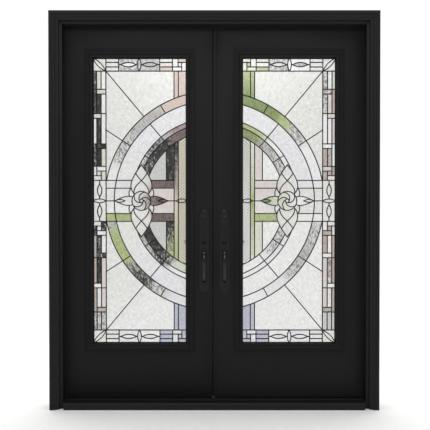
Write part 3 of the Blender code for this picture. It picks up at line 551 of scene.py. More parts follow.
def makeLiteFrames():
    for word in sides:
        slabLow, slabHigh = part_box(f"{word}_slab")
        for place, faceY, outwards in (("exterior", slabLow.y, -1), ("interior", slabHigh.y, 1)):
            node = f"{word}_lite_frame_{place}"
            low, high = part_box(node)
            profile = liteProfile((high.y - faceY) if outwards < 0 else (faceY - low.y))
            (x, z), (halfX, halfZ) = middleOf(low, high), ((high.x - low.x) / 2, (high.z - low.z) / 2)
            rings = [[(x + turnX * (halfX - d), faceY + outwards * height, z + turnZ * (halfZ - d))
                      for d, height in profile] for turnX, turnZ in ((-1, -1), (1, -1), (1, 1), (-1, 1))]
            addPiece(f"{word}LiteFrame_{place}", skinned(rings, node, 42, looped=True), [slabPaint],
                     f"{word}_door", [node])


makeLiteFrames()
print("scene: lite frames moulded")


# Leaded glass: the pattern, as lines of lead in (u, v) with v measured up from the rosette's centre

pattern = {"band": 0.070, "outer": 0.020, "middle": 0.044, "block": 0.0253, "firstBlock": 0.098,
           "secondBlock": 0.229, "thirdBlock": 0.283, "ringPast": 0.00775,
           "ringWidths": (0.052, 0.093, 0.026, 0.045), "rosetteFromRing": 0.199, "circle": 0.0515,
           "petalLength": 0.195, "petalWidth": 0.060, "petalBends": (0.78, 1.32, 1.35, 0.72, 0.7),
           "barLow": 0.0685, "barHigh": 0.111, "stripInner": 0.04475, "stripOuter": 0.06775,
           "stripFar": 0.10975, "blockEnds": (0.139, 0.361, 0.430), "rowHeights": (0.023, 0.0475),
           "lowRay": 56.8, "highRay": 29.3,
           "topLeaves": ((0.139, 0.150), (0.234, 0.239), (0.261, 0.266), (0.350, 0.361)),
           "topLeafBulge": 0.0115, "topSplit": 0.250, "splitBulge": 0.010, "meetingBlocks": (0.460, 0.480),
           "sideLeaf": (0.010, 0.022, 0.091), "sideLeafBulge": 0.012, "crossLeaf": 0.0577,
           "crossLeafBulge": 0.0105, "rosetteReach": 0.144, "sideLeafHigh": 0.028, "sideLeafTaper": 0.04}
# The rosette's ribbons and side leaves, as control points about its centre with their steps
ribbon = {"low": ((0.0402, 0.0402), (0.045, 0.072), (0.016, 0.094), (0, 0.1095)), "lowSteps": 8,
          "high": ((0, 0.1095), (-0.012, 0.122), (-0.022, 0.134)), "highEnd": 0.150, "highSteps": 6,
          "side": ((0.0477, 0.0194), (0.072, 0.034), (0.108, 0.018), (0.144, 0)), "sideSteps": 10,
          "inner": (0.090, 0.0075), "wing": (0.014, 0.058, 0.036), "wingEnd": (0.0640, 0.0262),
          "wingSteps": 8}
pinwheel = {"arms": 5, "heart": 0.20, "turn": 95, "start": 0.3, "bend": 0.8, "steps": 8}
liteLow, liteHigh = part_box("right_lite_frame_exterior")
sightNear = liteLow.x + liteLook["face"]
sightFar = liteHigh.x - liteLook["face"]
sightRise = (liteHigh.z - liteLow.z) / 2 - liteLook["face"]
centreHeight = (liteHigh.z + liteLow.z) / 2
bandLine = sightFar - pattern["band"]
bandTop = sightRise - pattern["band"]
ringRadii = [bandLine + pattern["ringPast"]]
for ringWidth in pattern["ringWidths"]:
    ringRadii.append(ringRadii[-1] - ringWidth)
outerRing, innerRing, secondOut, secondMiddle, secondIn = ringRadii
rosetteOut = outerRing - pattern["rosetteFromRing"]
stripInner, stripOuter, stripFar = (
    sightNear + out for out in pick(pattern, "stripInner stripOuter stripFar"))


def bulged(start, end, bulge, steps=8):
    # A shallow arc that stands bulge to the left of the straight line from start to end
    along = Vector(end) - Vector(start)
    across = Vector((-along.y, along.x)).normalized()
    return [tuple(Vector(start) + along * t + across * bulge * 4 * t * (1 - t)) for t in arc(1, steps)]


def bezier(p0, p1, p2, p3, steps):
    points = []
    for t in arc(1, steps):
        s = 1 - t
        mix = (s ** 3, 3 * s * s * t, 3 * s * t * t, t ** 3)
        points.append(tuple(sum((Vector(p) * m for p, m in zip((p0, p1, p2, p3), mix)), Vector((0, 0)))))
    return points


def petalCurve():
    # Half a petal, from the circle out and up to its tip
    circle, length, width, (root, lowOut, lowUp, highOut, highUp) = pick(
        pattern, "circle petalLength petalWidth petalBends")
    return bezier((circle * root, circle * root), (width * lowOut, width * lowUp),
                  (width * highOut, length * highUp), (0, length), 16)


def petalHalfWidth(height):
    curve = petalCurve()
    if height <= curve[0][1]:
        return sqrt(max(pattern["circle"] ** 2 - height ** 2, 0.0))
    for low, high in zip(curve, curve[1:]):
        if low[1] <= height <= high[1]:
            return low[0] + (high[0] - low[0]) * (height - low[1]) / (high[1] - low[1])
    return 0.0


def ringArc(radius, start, end):
    steps = max(2, round(abs(end - start) / radians(2.5)))
    return [(radius * sin(start + a), radius * cos(start + a)) for a in arc(end - start, steps)]


def ringMeetsPetal(radius):
    angle = acos(min(1.0, pattern["petalLength"] / radius))
    while abs(radius * sin(angle) - rosetteOut) > petalHalfWidth(radius * cos(angle)) and angle < pi / 2:
        angle += radians(0.05)
    return angle


def aboutRosette(points, turn=1):
    return [(rosetteOut + turn * x, y) for x, y in points]


def level(v, *us):
    # A level line of lead at height v, and below an upright one at u
    return [(u, v) for u in us]


def upright(u, *vs):
    return [(u, v) for v in vs]


def sideBorder(barHigh):
    # Woven border up the hinge side
    block, first, second, third = pick(pattern, "block firstBlock secondBlock thirdBlock")
    outer, middle = sightFar - pattern["outer"], sightFar - pattern["middle"]
    low, mid, high = (barHigh + block * i for i in (1, 2, 3))
    fromTop, farBlock = bandTop - first, bandTop - second
    lines = [upright(bandLine, barHigh, sightRise), upright(outer, low, farBlock - block),
             upright(outer, farBlock, bandTop), upright(middle, barHigh, mid), upright(middle, high, third),
             upright(middle, third + block, fromTop - block), upright(middle, fromTop, bandTop)]
    for near, far, heights in ((bandLine, sightFar, (barHigh, high, third + block, farBlock, fromTop)),
                               (bandLine, outer, (mid, third, fromTop - block)),
                               (middle, sightFar, (low, farBlock - block))):
        lines += [level(height, near, far) for height in heights]
    return lines


def topBorder(barHigh):
    # Border along the top with its leaves, and the leaf beside the bars
    lines = [level(bandTop, sightNear, sightFar)]
    firstEnd, secondEnd, thirdEnd = (sightFar - out for out in pattern["blockEnds"])
    lines += [upright(end, bandTop, sightRise) for end in (firstEnd, secondEnd, thirdEnd)]
    upperRow, lowerRow = (sightRise - row for row in pattern["rowHeights"])
    for row in (upperRow, lowerRow):
        lines += [level(row, bandLine, firstEnd), level(row, secondEnd, thirdEnd)]
    leafLine, sideLeaf = sightRise - pattern["band"] / 2, sightFar - pattern["band"] / 2
    stems = [(sightFar - start, sightFar - end) for start, end in pattern["topLeaves"]]
    lines += [level(leafLine, start, end) for start, end in stems]
    fourth, fifth = (sightFar - out for out in pattern["meetingBlocks"])
    lines += [upright(fourth, sightRise, lowerRow), level(lowerRow, thirdEnd, fifth),
              upright(fifth, bandTop, upperRow), level(upperRow, fourth, sightNear)]
    split, (stemLow, leafLow, leafHigh) = sightFar - pattern["topSplit"], pattern["sideLeaf"]
    lines += [upright(sideLeaf, stemLow, leafLow), upright(sideLeaf, leafHigh, barHigh)]
    for turn in (1, -1):
        lines += [bulged((sightFar, sightRise), (bandLine, bandTop), pattern["splitBulge"] * turn),
                  bulged((sideLeaf, leafLow), (sideLeaf, leafHigh), pattern["sideLeafBulge"] * turn),
                  bulged((split, bandTop), (split, sightRise), pattern["splitBulge"] * turn)]
        for near, far in (stems[:2], stems[2:]):
            lines.append(bulged((near[1], leafLine), (far[0], leafLine), pattern["topLeafBulge"] * turn))
    return lines


def ringLines(barLow, barHigh):
    # Rings about the middle of the pair with rays between them, then the uprights and bars inside
    starts = {radius: acos(sqrt(radius ** 2 - sightNear ** 2) / radius) for radius in ringRadii}
    lines = [ringArc(outerRing, starts[outerRing], acos(barHigh / outerRing)),
             ringArc(innerRing, starts[innerRing], pi / 2)]
    for radius in (secondOut, secondMiddle, secondIn):
        lines.append(ringArc(radius, starts[radius], ringMeetsPetal(radius)))
    corner, lowRay, highRay = atan2(bandLine, bandTop), *map(radians, pick(pattern, "lowRay highRay"))
    for angle, start, end in ((corner, outerRing, hypot(bandLine, bandTop)), (corner, secondIn, innerRing),
                              (lowRay, innerRing, bandLine / sin(lowRay)), (lowRay, secondIn, secondOut),
                              (highRay, innerRing, outerRing)):
        lines.append([(reach * sin(angle), reach * cos(angle)) for reach in (start, end)])
    for out in (stripOuter, stripInner):
        lines += [upright(out, sqrt(outerRing ** 2 - out ** 2), bandTop),
                  upright(out, 0, sqrt(secondIn ** 2 - out ** 2))]
    lines.append(upright(stripFar, barHigh, sqrt(secondIn ** 2 - stripFar ** 2)))
    for height in (barLow, barHigh):
        wide = petalHalfWidth(height)
        lines += [level(height, stripOuter, rosetteOut - wide), level(height, rosetteOut + wide, bandLine)]
    return lines


def rosetteLines(barLow):
    # Tall petals with crossed ribbons in them, side leaves, and a small wing at each shoulder
    reach, highEnd, wing = pattern["rosetteReach"], ribbon["highEnd"], petalHalfWidth(barLow)
    wingOut, wingHigh, wingLow = ribbon["wing"]
    curves = [petalCurve(), bezier(*ribbon["low"], ribbon["lowSteps"]),
              bezier(*ribbon["high"], (-petalHalfWidth(highEnd), highEnd), ribbon["highSteps"]),
              bezier(*ribbon["side"], ribbon["sideSteps"]),
              bulged((ribbon["inner"][0], 0), (reach, 0), ribbon["inner"][1]),
              bezier((wing, barLow), (wing + wingOut, wingHigh), (wing + wingOut, wingLow), ribbon["wingEnd"],
                     ribbon["wingSteps"])]
    return [aboutRosette(curve, turn) for turn in (1, -1) for curve in curves]


def middleLines(barHigh):
    # Along the middle: the bars' leaves, the rosette's circle and a plain pinwheel in it
    reach, circle, leafEnd = pattern["rosetteReach"], pattern["circle"], sightNear + pattern["crossLeaf"]
    lines = [level(0, rosetteOut + reach, bandLine), level(0, stripOuter, rosetteOut - reach),
             level(0, leafEnd, stripOuter), upright(bandLine, -barHigh, 0), upright(bandLine, 0, barHigh)]
    for turn in (1, -1):
        bulge = pattern["crossLeafBulge"] * turn
        lines += [bulged((sightNear, 0), (leafEnd, 0), bulge), bulged((bandLine, 0), (sightFar, 0), bulge)]
    lines.append(aboutRosette([(circle * cos(a), circle * sin(a)) for a in arc(2 * pi, 40)]))
    arms, heart, sweep, start, bend, steps = pick(pinwheel, "arms heart turn start bend steps")
    for first in around(arms):
        curve = []
        for t in arc(1, steps):
            out, angle = circle * (heart + (1 - heart) * t), first + start + radians(sweep) * t ** bend
            curve.append((out * cos(angle), out * sin(angle)))
        lines.append(aboutRosette(curve))
    heart *= circle
    return lines + [aboutRosette([(heart * cos(a), heart * sin(a)) for a in arc(2 * pi, 16)])]


def leadLines():
    barLow, barHigh = pick(pattern, "barLow barHigh")
    upper = sideBorder(barHigh) + topBorder(barHigh) + ringLines(barLow, barHigh) + rosetteLines(barLow)
    return upper + [[(u, -v) for u, v in line] for line in upper] + middleLines(barHigh)


# Lead lattice, drawn by nodes along those lines and soldered where they meet

leadLook = {"width": 0.0052, "height": 0.0037, "solder": 0.0034, "solderHeight": 0.0022,
            "solderVaries": (0.8, 1.15), "sink": 0.0002, "seed": 4}


def newTree(name, numbers, material):
    # A tree with named inputs; its group input's outputs come with it
    tree = bpy.data.node_groups.new(name, "GeometryNodeTree")
    tree.interface.new_socket("Geometry", in_out="INPUT", socket_type="NodeSocketGeometry")
    for number in numbers:
        tree.interface.new_socket(number, in_out="INPUT", socket_type="NodeSocketFloat")
    tree.interface.new_socket(material, in_out="INPUT", socket_type="NodeSocketMaterial")
    tree.interface.new_socket("Geometry", in_out="OUTPUT", socket_type="NodeSocketGeometry")
    return tree, addNode(tree, "NodeGroupInput").outputs


def endTree(tree, geometry, material):
    real = addNode(tree, "GeometryNodeRealizeInstances", inputs={"Geometry": geometry})
    finished = addNode(tree, "GeometryNodeSetMaterial",
                       inputs={"Geometry": real.outputs["Geometry"], "Material": material})
    addNode(tree, "NodeGroupOutput", inputs={"Geometry": finished.outputs["Geometry"]})
    return tree


def latticeNodes():
    tree, given = newTree("leadLattice", ("Width", "Height", "Solder", "Solder Height"), "Lead")
    path = addNode(tree, "GeometryNodeMeshToCurve", inputs={"Mesh": given["Geometry"]})
    upwards = addNode(tree, "GeometryNodeSetCurveNormal", {"mode": "Z_UP"}, {"Curve": path.outputs["Curve"]})
    circle = addNode(tree, "GeometryNodeCurvePrimitiveCircle", inputs={"Resolution": 10, "Radius": 0.5})
    size = addNode(tree, "ShaderNodeCombineXYZ", inputs={"X": given["Width"], "Y": given["Height"], "Z": 1.0})
    profile = addNode(tree, "GeometryNodeTransform",
                      inputs={"Geometry": circle.outputs["Curve"], "Scale": size.outputs["Vector"]})
    bars = addNode(tree, "GeometryNodeCurveToMesh",
                   inputs={"Curve": upwards.outputs["Curve"], "Profile Curve": profile.outputs["Geometry"],
                           "Fill Caps": True})
    joint = addNode(tree, "GeometryNodeInputNamedAttribute", {"data_type": "FLOAT"}, {"Name": "joint"})
    spots = addNode(tree, "GeometryNodeMeshToPoints",
                    inputs={"Mesh": given["Geometry"], "Selection": joint.outputs["Attribute"]})
    ball = addNode(tree, "GeometryNodeMeshUVSphere", inputs={"Segments": 10, "Rings": 6, "Radius": 1.0})
    flat = addNode(tree, "ShaderNodeCombineXYZ",
                   inputs={"X": given["Solder"], "Y": given["Solder"], "Z": given["Solder Height"]})
    least, most = leadLook["solderVaries"]
    vary = addNode(tree, "FunctionNodeRandomValue", {"data_type": "FLOAT"},
                   {2: least, 3: most, "Seed": leadLook["seed"]})
    grown = addNode(tree, "ShaderNodeVectorMath", {"operation": "SCALE"},
                    {0: flat.outputs["Vector"], "Scale": vary.outputs[1]})
    drops = addNode(tree, "GeometryNodeInstanceOnPoints",
                    inputs={"Points": spots.outputs["Points"], "Instance": ball.outputs["Mesh"],
                            "Scale": grown.outputs["Vector"]})
    joined = addNode(tree, "GeometryNodeJoinGeometry")
    tree.links.new(bars.outputs["Mesh"], joined.inputs["Geometry"])
    tree.links.new(drops.outputs["Instances"], joined.inputs["Geometry"])
    return endTree(tree, joined.outputs["Geometry"], given["Lead"])


def runNodes(helper, tree, values):
    # The tree run once on the helper with these inputs
    modifier = helper.modifiers.new("nodes", "NODES")
    modifier.node_group = tree
    for item in tree.interface.items_tree:
        if item.in_out == "INPUT" and item.name in values:
            modifier[item.identifier] = values[item.name]
    return settledMesh(helper, helper.name)


def latticeMesh(lines):
    verts, edges, joints = [], [], []
    for line in lines:
        start = len(verts)
        verts += [(u, v, 0) for u, v in line]
        edges += [(start + i, start + i + 1) for i in range(len(line) - 1)]
        joints += [1.0] + [0.0] * (len(line) - 2) + [1.0]
    mesh = bpy.data.meshes.new("leadLines")
    mesh.from_pydata(verts, edges, [])
    mesh.attributes.new("joint", "FLOAT", "POINT").data.foreach_set("value", joints)
    values = {"Width": leadLook["width"], "Height": leadLook["height"], "Solder": leadLook["solder"],
              "Solder Height": leadLook["solderHeight"], "Lead": leadCame}
    return runNodes(linked("leadLines", mesh), latticeNodes(), values)


def makeLead(lines):
    inset = leadLook["width"] / 2
    u0, u1, v1 = sightNear + inset, sightFar - inset, sightRise - inset
    border = [[(u0, -v1), (u0, v1)], [(u1, -v1), (u1, v1)], [(u0, v1), (u1, v1)], [(u0, -v1), (u1, -v1)]]
    flat = latticeMesh(lines + border)
    glassLow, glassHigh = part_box("right_glass")
    lift = leadLook["height"] / 2 - leadLook["sink"]
    for word, side in sides.items():
        bm = bmesh.new()
        for y in (glassLow.y - lift, glassHigh.y + lift):
            copied = flat.copy()
            copied.transform(Matrix(((side, 0, 0, 0), (0, 0, 1, y), (0, 1, 0, centreHeight), (0, 0, 0, 1))))
            bm.from_mesh(copied)
            bpy.data.meshes.remove(copied)
        addPiece(f"{word}LeadLattice", meshFrom(bm, f"{word}LeadLattice", 50), [leadCame], f"{word}_door",
                 [f"{word}_came"])


leadDrawing = leadLines()
makeLead(leadDrawing)
print("scene: lead lattice drawn")


# Glass pieces, cut to the spaces between the lines. Each sheet has a tint and how much dark streak is in it.

glassSheets = {"clearWarm": ("#f0f0ec", 0.0), "clearCool": ("#f0f0f2", 0.0), "white": ("#f8f8f7", 0.0),
               "cream": ("#e6e1cd", 0.0), "greyPale": ("#d5d7d4", 0.1), "greyWispy": ("#c9c7c5", 0.5),
               "greyWater": ("#e3e3e2", 0.7), "blackWater": ("#cfcdc9", 1.0),
               "blackMottle": ("#a9a5a1", 1.25), "mauve": ("#7f6e6b", 0.6), "rose": ("#b09a97", 0.6),
               "peach": ("#dbc8bc", 0.2), "tan": ("#cbbbb0", 0.35), "pinkWhite": ("#e6dcd9", 0.0),
               "green": ("#80964b", 0.5), "greenPale": ("#bac88c", 0.4), "greenWhite": ("#e6eadb", 0.3),
               "olive": ("#93a468", 0.5), "lilac": ("#c8cad9", 0.3)}
# Per door and zone: the sheets, each with the place (u, v) where it is strongest
glassPlaces = {
    "left": {
        "field": [("clearWarm", 0.4, 0.6), ("clearWarm", 0.5, 0.4), ("white", 0.4, -0.6),
                  ("clearWarm", 0.5, -0.45)],
        "upright": [("peach", 0.17, 0.65), ("lilac", 0.16, -0.65)],
        "ring1": [("peach", 0.2, 0.53), ("peach", 0.26, 0.51), ("greyWispy", 0.31, 0.475),
                  ("greyWispy", 0.38, 0.41), ("greyWater", 0.48, 0.28), ("white", 0.56, 0.1),
                  ("greyWater", 0.56, -0.11), ("greenPale", 0.54, -0.18), ("greenPale", 0.51, -0.26),
                  ("greenPale", 0.475, -0.31), ("blackWater", 0.43, -0.37), ("blackWater", 0.37, -0.43),
                  ("greyWater", 0.3, -0.47), ("clearCool", 0.2, -0.53)],
        "gap": [("clearCool", 0.3, 0.38), ("clearCool", 0.3, -0.38), ("clearWarm", 0.5, -0.15)],
        "ring2": [("rose", 0.2, 0.39), ("greyWispy", 0.26, 0.35), ("blackWater", 0.32, 0.29),
                  ("greyWater", 0.38, 0.2), ("greyWispy", 0.36, -0.2), ("blackWater", 0.28, -0.3),
                  ("white", 0.2, -0.39)],
        "ring3": [("mauve", 0.2, 0.35), ("blackMottle", 0.28, 0.29), ("blackWater", 0.37, 0.16),
                  ("blackMottle", 0.37, -0.13), ("blackMottle", 0.3, -0.25), ("blackWater", 0.25, -0.31),
                  ("greenWhite", 0.2, -0.35)],
        "column": [("blackMottle", 0.24, 0.3), ("blackMottle", 0.24, 0.15), ("blackMottle", 0.24, -0.15),
                   ("blackWater", 0.24, -0.23), ("greenPale", 0.24, -0.31)],
        "strip": [("blackMottle", 0.206, 0.3), ("blackMottle", 0.206, 0.22), ("mauve", 0.206, 0.15),
                  ("tan", 0.206, 0.06), ("cream", 0.206, -0.05), ("olive", 0.206, -0.2),
                  ("greenPale", 0.206, -0.3)],
        "reeded": [("cream", 0.17, 0.0)],
        "inner": [("greyPale", 0.3, 0.16), ("greyPale", 0.3, -0.16)],
        "bar": [("clearCool", 0.52, 0.09), ("mauve", 0.28, 0.09), ("greenPale", 0.52, -0.09),
                ("mauve", 0.28, -0.09)],
        "middle": [("clearWarm", 0.52, 0.04), ("pinkWhite", 0.24, 0.04), ("white", 0.52, -0.04)],
        "leaf": [("clearWarm", 0.42, 0.1), ("mauve", 0.3, 0.0), ("clearWarm", 0.48, 0.0),
                 ("clearWarm", 0.395, -0.1)],
    },
    "right": {
        "field": [("clearWarm", 0.4, 0.6), ("clearWarm", 0.5, 0.4), ("white", 0.4, -0.6),
                  ("white", 0.5, -0.45)],
        "upright": [("green", 0.17, 0.62), ("greenPale", 0.17, 0.68), ("lilac", 0.17, -0.65)],
        "ring1": [("green", 0.2, 0.53), ("green", 0.31, 0.47), ("greenPale", 0.37, 0.42),
                  ("greyWater", 0.43, 0.35), ("white", 0.5, 0.25), ("white", 0.56, 0.1),
                  ("white", 0.56, -0.06), ("greyWater", 0.54, -0.16), ("greyWispy", 0.48, -0.3),
                  ("greyWater", 0.42, -0.37), ("clearCool", 0.33, -0.45), ("white", 0.2, -0.53)],
        "gap": [("clearCool", 0.3, 0.38), ("white", 0.3, -0.38)],
        "ring2": [("greenPale", 0.2, 0.39), ("white", 0.34, 0.27), ("white", 0.2, -0.39),
                  ("clearCool", 0.34, -0.27)],
        "ring3": [("olive", 0.2, 0.35), ("greyWispy", 0.28, 0.29), ("greyWater", 0.35, 0.2),
                  ("greyWater", 0.35, -0.2), ("white", 0.2, -0.35)],
        "column": [("pinkWhite", 0.24, 0.25), ("greenWhite", 0.24, -0.25)],
        "strip": [("greenWhite", 0.206, 0.2), ("greenPale", 0.206, -0.05), ("greenWhite", 0.206, -0.2)],
        "reeded": [("white", 0.17, -0.1), ("greenWhite", 0.17, 0.3)],
        "inner": [("white", 0.3, 0.16), ("white", 0.3, -0.16)],
        "bar": [("pinkWhite", 0.28, 0.09), ("clearCool", 0.52, 0.09), ("greenPale", 0.28, -0.09),
                ("white", 0.52, -0.09)],
        "middle": [("pinkWhite", 0.24, 0.04), ("clearWarm", 0.52, 0.0), ("clearWarm", 0.24, -0.04)],
        "leaf": [("clearWarm", 0.42, 0.1), ("olive", 0.27, 0.0), ("greenWhite", 0.33, 0.0),
                 ("white", 0.48, 0.0), ("clearWarm", 0.395, -0.1)],
    },
}
# The border's pieces are cut one by one: in each stretch, above the height v and outside u, a piece comes
# from one of these sheets by chance
borderStretches = {
    "left": [(0.67, 0.55, ("clearWarm",)),
             (0.67, 0.29, ("greyWater", "greyWispy", "white", "blackWater", "greyWispy")),
             (0.67, 0.0, ("pinkWhite", "clearWarm", "peach", "white")),
             (0.42, 0.55, ("white", "blackWater", "greenWhite", "blackMottle")),
             (0.12, 0.55, ("blackMottle", "white", "blackWater", "white", "greenWhite", "blackMottle")),
             (-0.12, 0.55, ("clearWarm",)),
             (-0.36, 0.55, ("blackWater", "greyWispy", "blackMottle", "white")),
             (-0.6, 0.55, ("white", "pinkWhite", "clearCool", "tan")),
             (-0.67, 0.55, ("white", "greyWater", "clearCool")), (-9.0, 0.55, ("clearWarm",)),
             (-9.0, 0.29, ("white", "clearCool", "greyWater", "white", "blackWater")),
             (-9.0, 0.0, ("lilac", "clearCool"))],
    "right": [(0.67, 0.55, ("clearWarm",)),
              (0.67, 0.29, ("white", "greenWhite", "greyWispy", "white", "greyWater")),
              (0.67, 0.0, ("greenPale", "greenWhite", "white")),
              (0.42, 0.55, ("tan", "white", "greyWater", "pinkWhite", "greenWhite")),
              (0.12, 0.55, ("white", "pinkWhite", "greyWispy", "white", "tan")),
              (-0.12, 0.55, ("clearWarm",)), (-0.36, 0.55, ("white", "tan", "greyWater", "tan")),
              (-0.6, 0.55, ("white", "pinkWhite", "clearCool", "tan")),
              (-0.67, 0.55, ("white", "greyPale", "clearCool")), (-9.0, 0.55, ("clearWarm",)),
              (-9.0, 0.29, ("white", "clearCool", "greyPale", "white")),
              (-9.0, 0.0, ("lilac", "clearCool"))],
}
cutLook = {"gap": 0.0007, "smallest": 0.00002, "reachOver": 0.0007, "merge": 0.00004, "seed": 11,
           "blendWithin": 0.0004, "blendPower": 1.5}
wavyZones = ("ring1", "ring2", "ring3", "column", "border", "bar", "strip")


def zoneOf(u, v):
    radius = hypot(u, v)
    high = abs(v)
    acrossRosette = abs(u - rosetteOut)
    if u > bandLine or high > bandTop:
        return "border"
    inPetal = high < pattern["petalLength"] and acrossRosette < petalHalfWidth(high)
    inSideLeaf = (high < pattern["sideLeafHigh"]
                  and acrossRosette < pattern["rosetteReach"] * (1 - high / pattern["sideLeafTaper"]))
    if inPetal or inSideLeaf:
        return "leaf"
    if pattern["barLow"] < high < pattern["barHigh"] and u > stripOuter:
        return "bar"
    if high < pattern["barLow"] and u > stripOuter:
        return "middle"
    if radius > outerRing:
        return "upright" if u < stripOuter else "field"
    for name, limit in (("ring1", innerRing), ("gap", secondOut), ("ring2", secondMiddle),
                        ("ring3", secondIn)):
        if radius > limit:
            return name
    for name, limit in (("reeded", stripInner), ("strip", stripOuter), ("column", stripFar)):
        if u < limit:
            return name
    return "inner"


def glassCells(lines):
    # The flat pieces between the lines, as lists of triangles over shared points
    u0, u1, v1 = sightNear, sightFar, sightRise
    box = [(u0, -v1), (u1, -v1), (u1, v1), (u0, v1), (u0, -v1)]
    points, edges = [], []
    for line in lines + [box]:
        start = len(points)
        points += [Vector(p) for p in line]
        if (points[-1] - points[start]).length > cutLook["reachOver"]:
            # Both ends go a little past the line they meet, so that no gap is left there
            for end, before in ((start, start + 1), (-1, -2)):
                points[end] = points[end] + (points[end] - points[before]).normalized() * cutLook["reachOver"]
        edges += [(start + i, start + i + 1) for i in range(len(line) - 1)]
    verts, cutEdges, tris, _, cutFrom, _ = delaunay_2d_cdt(points, edges, [], 1, cutLook["merge"])
    walls = {tuple(sorted(edge)) for edge, origin in zip(cutEdges, cutFrom) if origin}
    beside = {}
    for index, tri in enumerate(tris):
        for a, b in zip(tri, tri[1:] + tri[:1]):
            beside.setdefault(tuple(sorted((a, b))), []).append(index)
    neighbours = {index: [] for index in range(len(tris))}
    for edge, shared in beside.items():
        if len(shared) == 2 and edge not in walls:
            neighbours[shared[0]].append(shared[1])
            neighbours[shared[1]].append(shared[0])
    cells, seen = [], set()
    for index in range(len(tris)):
        if index in seen:
            continue
        queue, cell = [index], []
        seen.add(index)
        while queue:
            current = queue.pop()
            cell.append(tris[current])
            for other in neighbours[current]:
                if other not in seen:
                    seen.add(other)
                    queue.append(other)
        cells.append(cell)
    return verts, cells


def triArea(verts, tri):
    a, b, c = (verts[i] for i in tri)
    return abs((b - a).cross(c - a)) / 2


def blendTint(word, zone, u, v):
    # Near the place of one sheet its own tint, and between two places a mixture
    total, tint, streak = 0.0, Vector((0, 0, 0)), 0.0
    for sheet, placeU, placeV in glassPlaces[word][zone]:
        hexText, sheetStreak = glassSheets[sheet]
        square = (u - placeU) ** 2 + (v - placeV) ** 2
        weight = 1 / (square + cutLook["blendWithin"]) ** cutLook["blendPower"]
        total += weight
        tint += Vector(linearColour(hexText)[:3]) * weight
        streak += sheetStreak * weight
    return (*(tint / total), 1.0), streak / total


def borderSheet(word, u, v, chance):
    for lowest, nearest, sheets in borderStretches[word]:
        if v > lowest and u > nearest:
            return chance.choice(sheets)


def makeGlass(lines):
    verts, cells = glassCells(lines)
    glassLow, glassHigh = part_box("right_glass")
    sheets = [artGlass(name, glassLooks[kind], turn) for name, kind, turn in (
        ("rolledSeedyGlass", "field", None), ("streakyWaterGlass", "water", None),
        ("reededGlassRisingShadeLines", "reeded", 45), ("reededGlassFallingShadeLines", "reeded", -45))]
    for word, side in sides.items():
        chance = Random(cutLook["seed"])
        bm = bmesh.new()
        tintLayer = bm.verts.layers.float_color.new("tint")
        streakLayer = bm.verts.layers.float.new("streak")
        for cell in cells:
            if sum(triArea(verts, tri) for tri in cell) < cutLook["smallest"]:
                continue
            widest = max(cell, key=lambda tri: triArea(verts, tri))
            middle = sum((verts[i] for i in widest), Vector((0, 0))) / 3
            zone = zoneOf(middle.x, middle.y)
            if zone == "border":
                hexText, cutStreak = glassSheets[borderSheet(word, middle.x, middle.y, chance)]
            used = sorted({i for tri in cell for i in tri})
            made = {i: bm.verts.new((side * verts[i].x, glassLow.y, centreHeight + verts[i].y)) for i in used}
            faces = []
            for tri in cell:
                try:
                    faces.append(bm.faces.new([made[i] for i in tri]))
                except ValueError:
                    continue
            rim = bmesh.ops.inset_region(bm, faces=faces, thickness=cutLook["gap"], use_boundary=True)
            bmesh.ops.delete(bm, geom=rim["faces"], context="FACES")
            grown = bmesh.ops.extrude_face_region(bm, geom=faces)["geom"]
            backVerts = [item for item in grown if isinstance(item, bmesh.types.BMVert)]
            bmesh.ops.translate(bm, vec=(0, glassHigh.y - glassLow.y, 0), verts=backVerts)
            if zone == "reeded":
                index = 3 if side * middle.y < 0 else 2
            else:
                index = 1 if zone in wavyZones else 0
            for vert in backVerts + [vert for face in faces if face.is_valid for vert in face.verts]:
                if zone == "border":
                    tint, streak = linearColour(hexText), cutStreak
                else:
                    tint, streak = blendTint(word, zone, side * vert.co.x, vert.co.z - centreHeight)
                vert[tintLayer] = tint
                vert[streakLayer] = streak
                for face in vert.link_faces:
                    face.material_index = index
        loose = [vert for vert in bm.verts if not vert.link_faces]
        bmesh.ops.delete(bm, geom=loose, context="VERTS")
        addPiece(f"{word}GlassPieces", meshFrom(bm, f"{word}GlassPieces"), sheets, f"{word}_door",
                 [f"{word}_glass"])


makeGlass(leadDrawing)
print("scene: glass pieces cut")


# Meeting seal: a foam fin on the strip that closes the last gap between the doors

sealFin = {"reach": 0.00005, "thickness": 0.006, "fromInside": 0.012, "taper": 0.001, "sunk": 0.0004,
           "bead": 0.0009, "beadDepth": 0.005}


def makeMeetingSeal():
    low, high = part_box("astragal")
    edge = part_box("left_slab")[1].x
    y1 = high.y - sealFin["fromInside"]
    y0 = y1 - sealFin["thickness"]
    root, (taper, bead, depth) = low.x + sealFin["sunk"], pick(sealFin, "taper bead beadDepth")
    fin = [(root, y0), (edge + taper, y0 + taper), (edge + sealFin["reach"], (y0 + y1) / 2),
           (edge + taper, y1 - taper), (root, y1)]
    # A bead of the same foam closes the joint between the strip and its own door
    joint = [(high.x - bead, low.y + depth), (high.x + bead, low.y + depth), (high.x + bead, high.y - depth),
             (high.x - bead, high.y - depth)]
    bm = bmesh.new()
    for ring in (fin, joint):
        skin(bm, [[(x, y, z) for x, y in ring] for z in (low.z, high.z)])
    addPiece("meetingSeal", meshFrom(bm, "meetingSeal"), [sealSkin], "right_door")


makeMeetingSeal()
print("scene: meeting seal added")


# Handle sets

# The slotShade entries place a black sheet that paints the shade inside the thumb slot
plateLook = {"endRise": 0.036, "roll": 0.0026, "rollWide": 1.6, "steps": 14, "slotClear": 0.0008,
             "slotHalf": 0.0052, "slotPast": 0.01, "slotShadeInset": 0.0001, "slotShadeBelow": 0.0014,
             "slotShadeProud": 0.0012, "slotShadeGap": 0.0002}
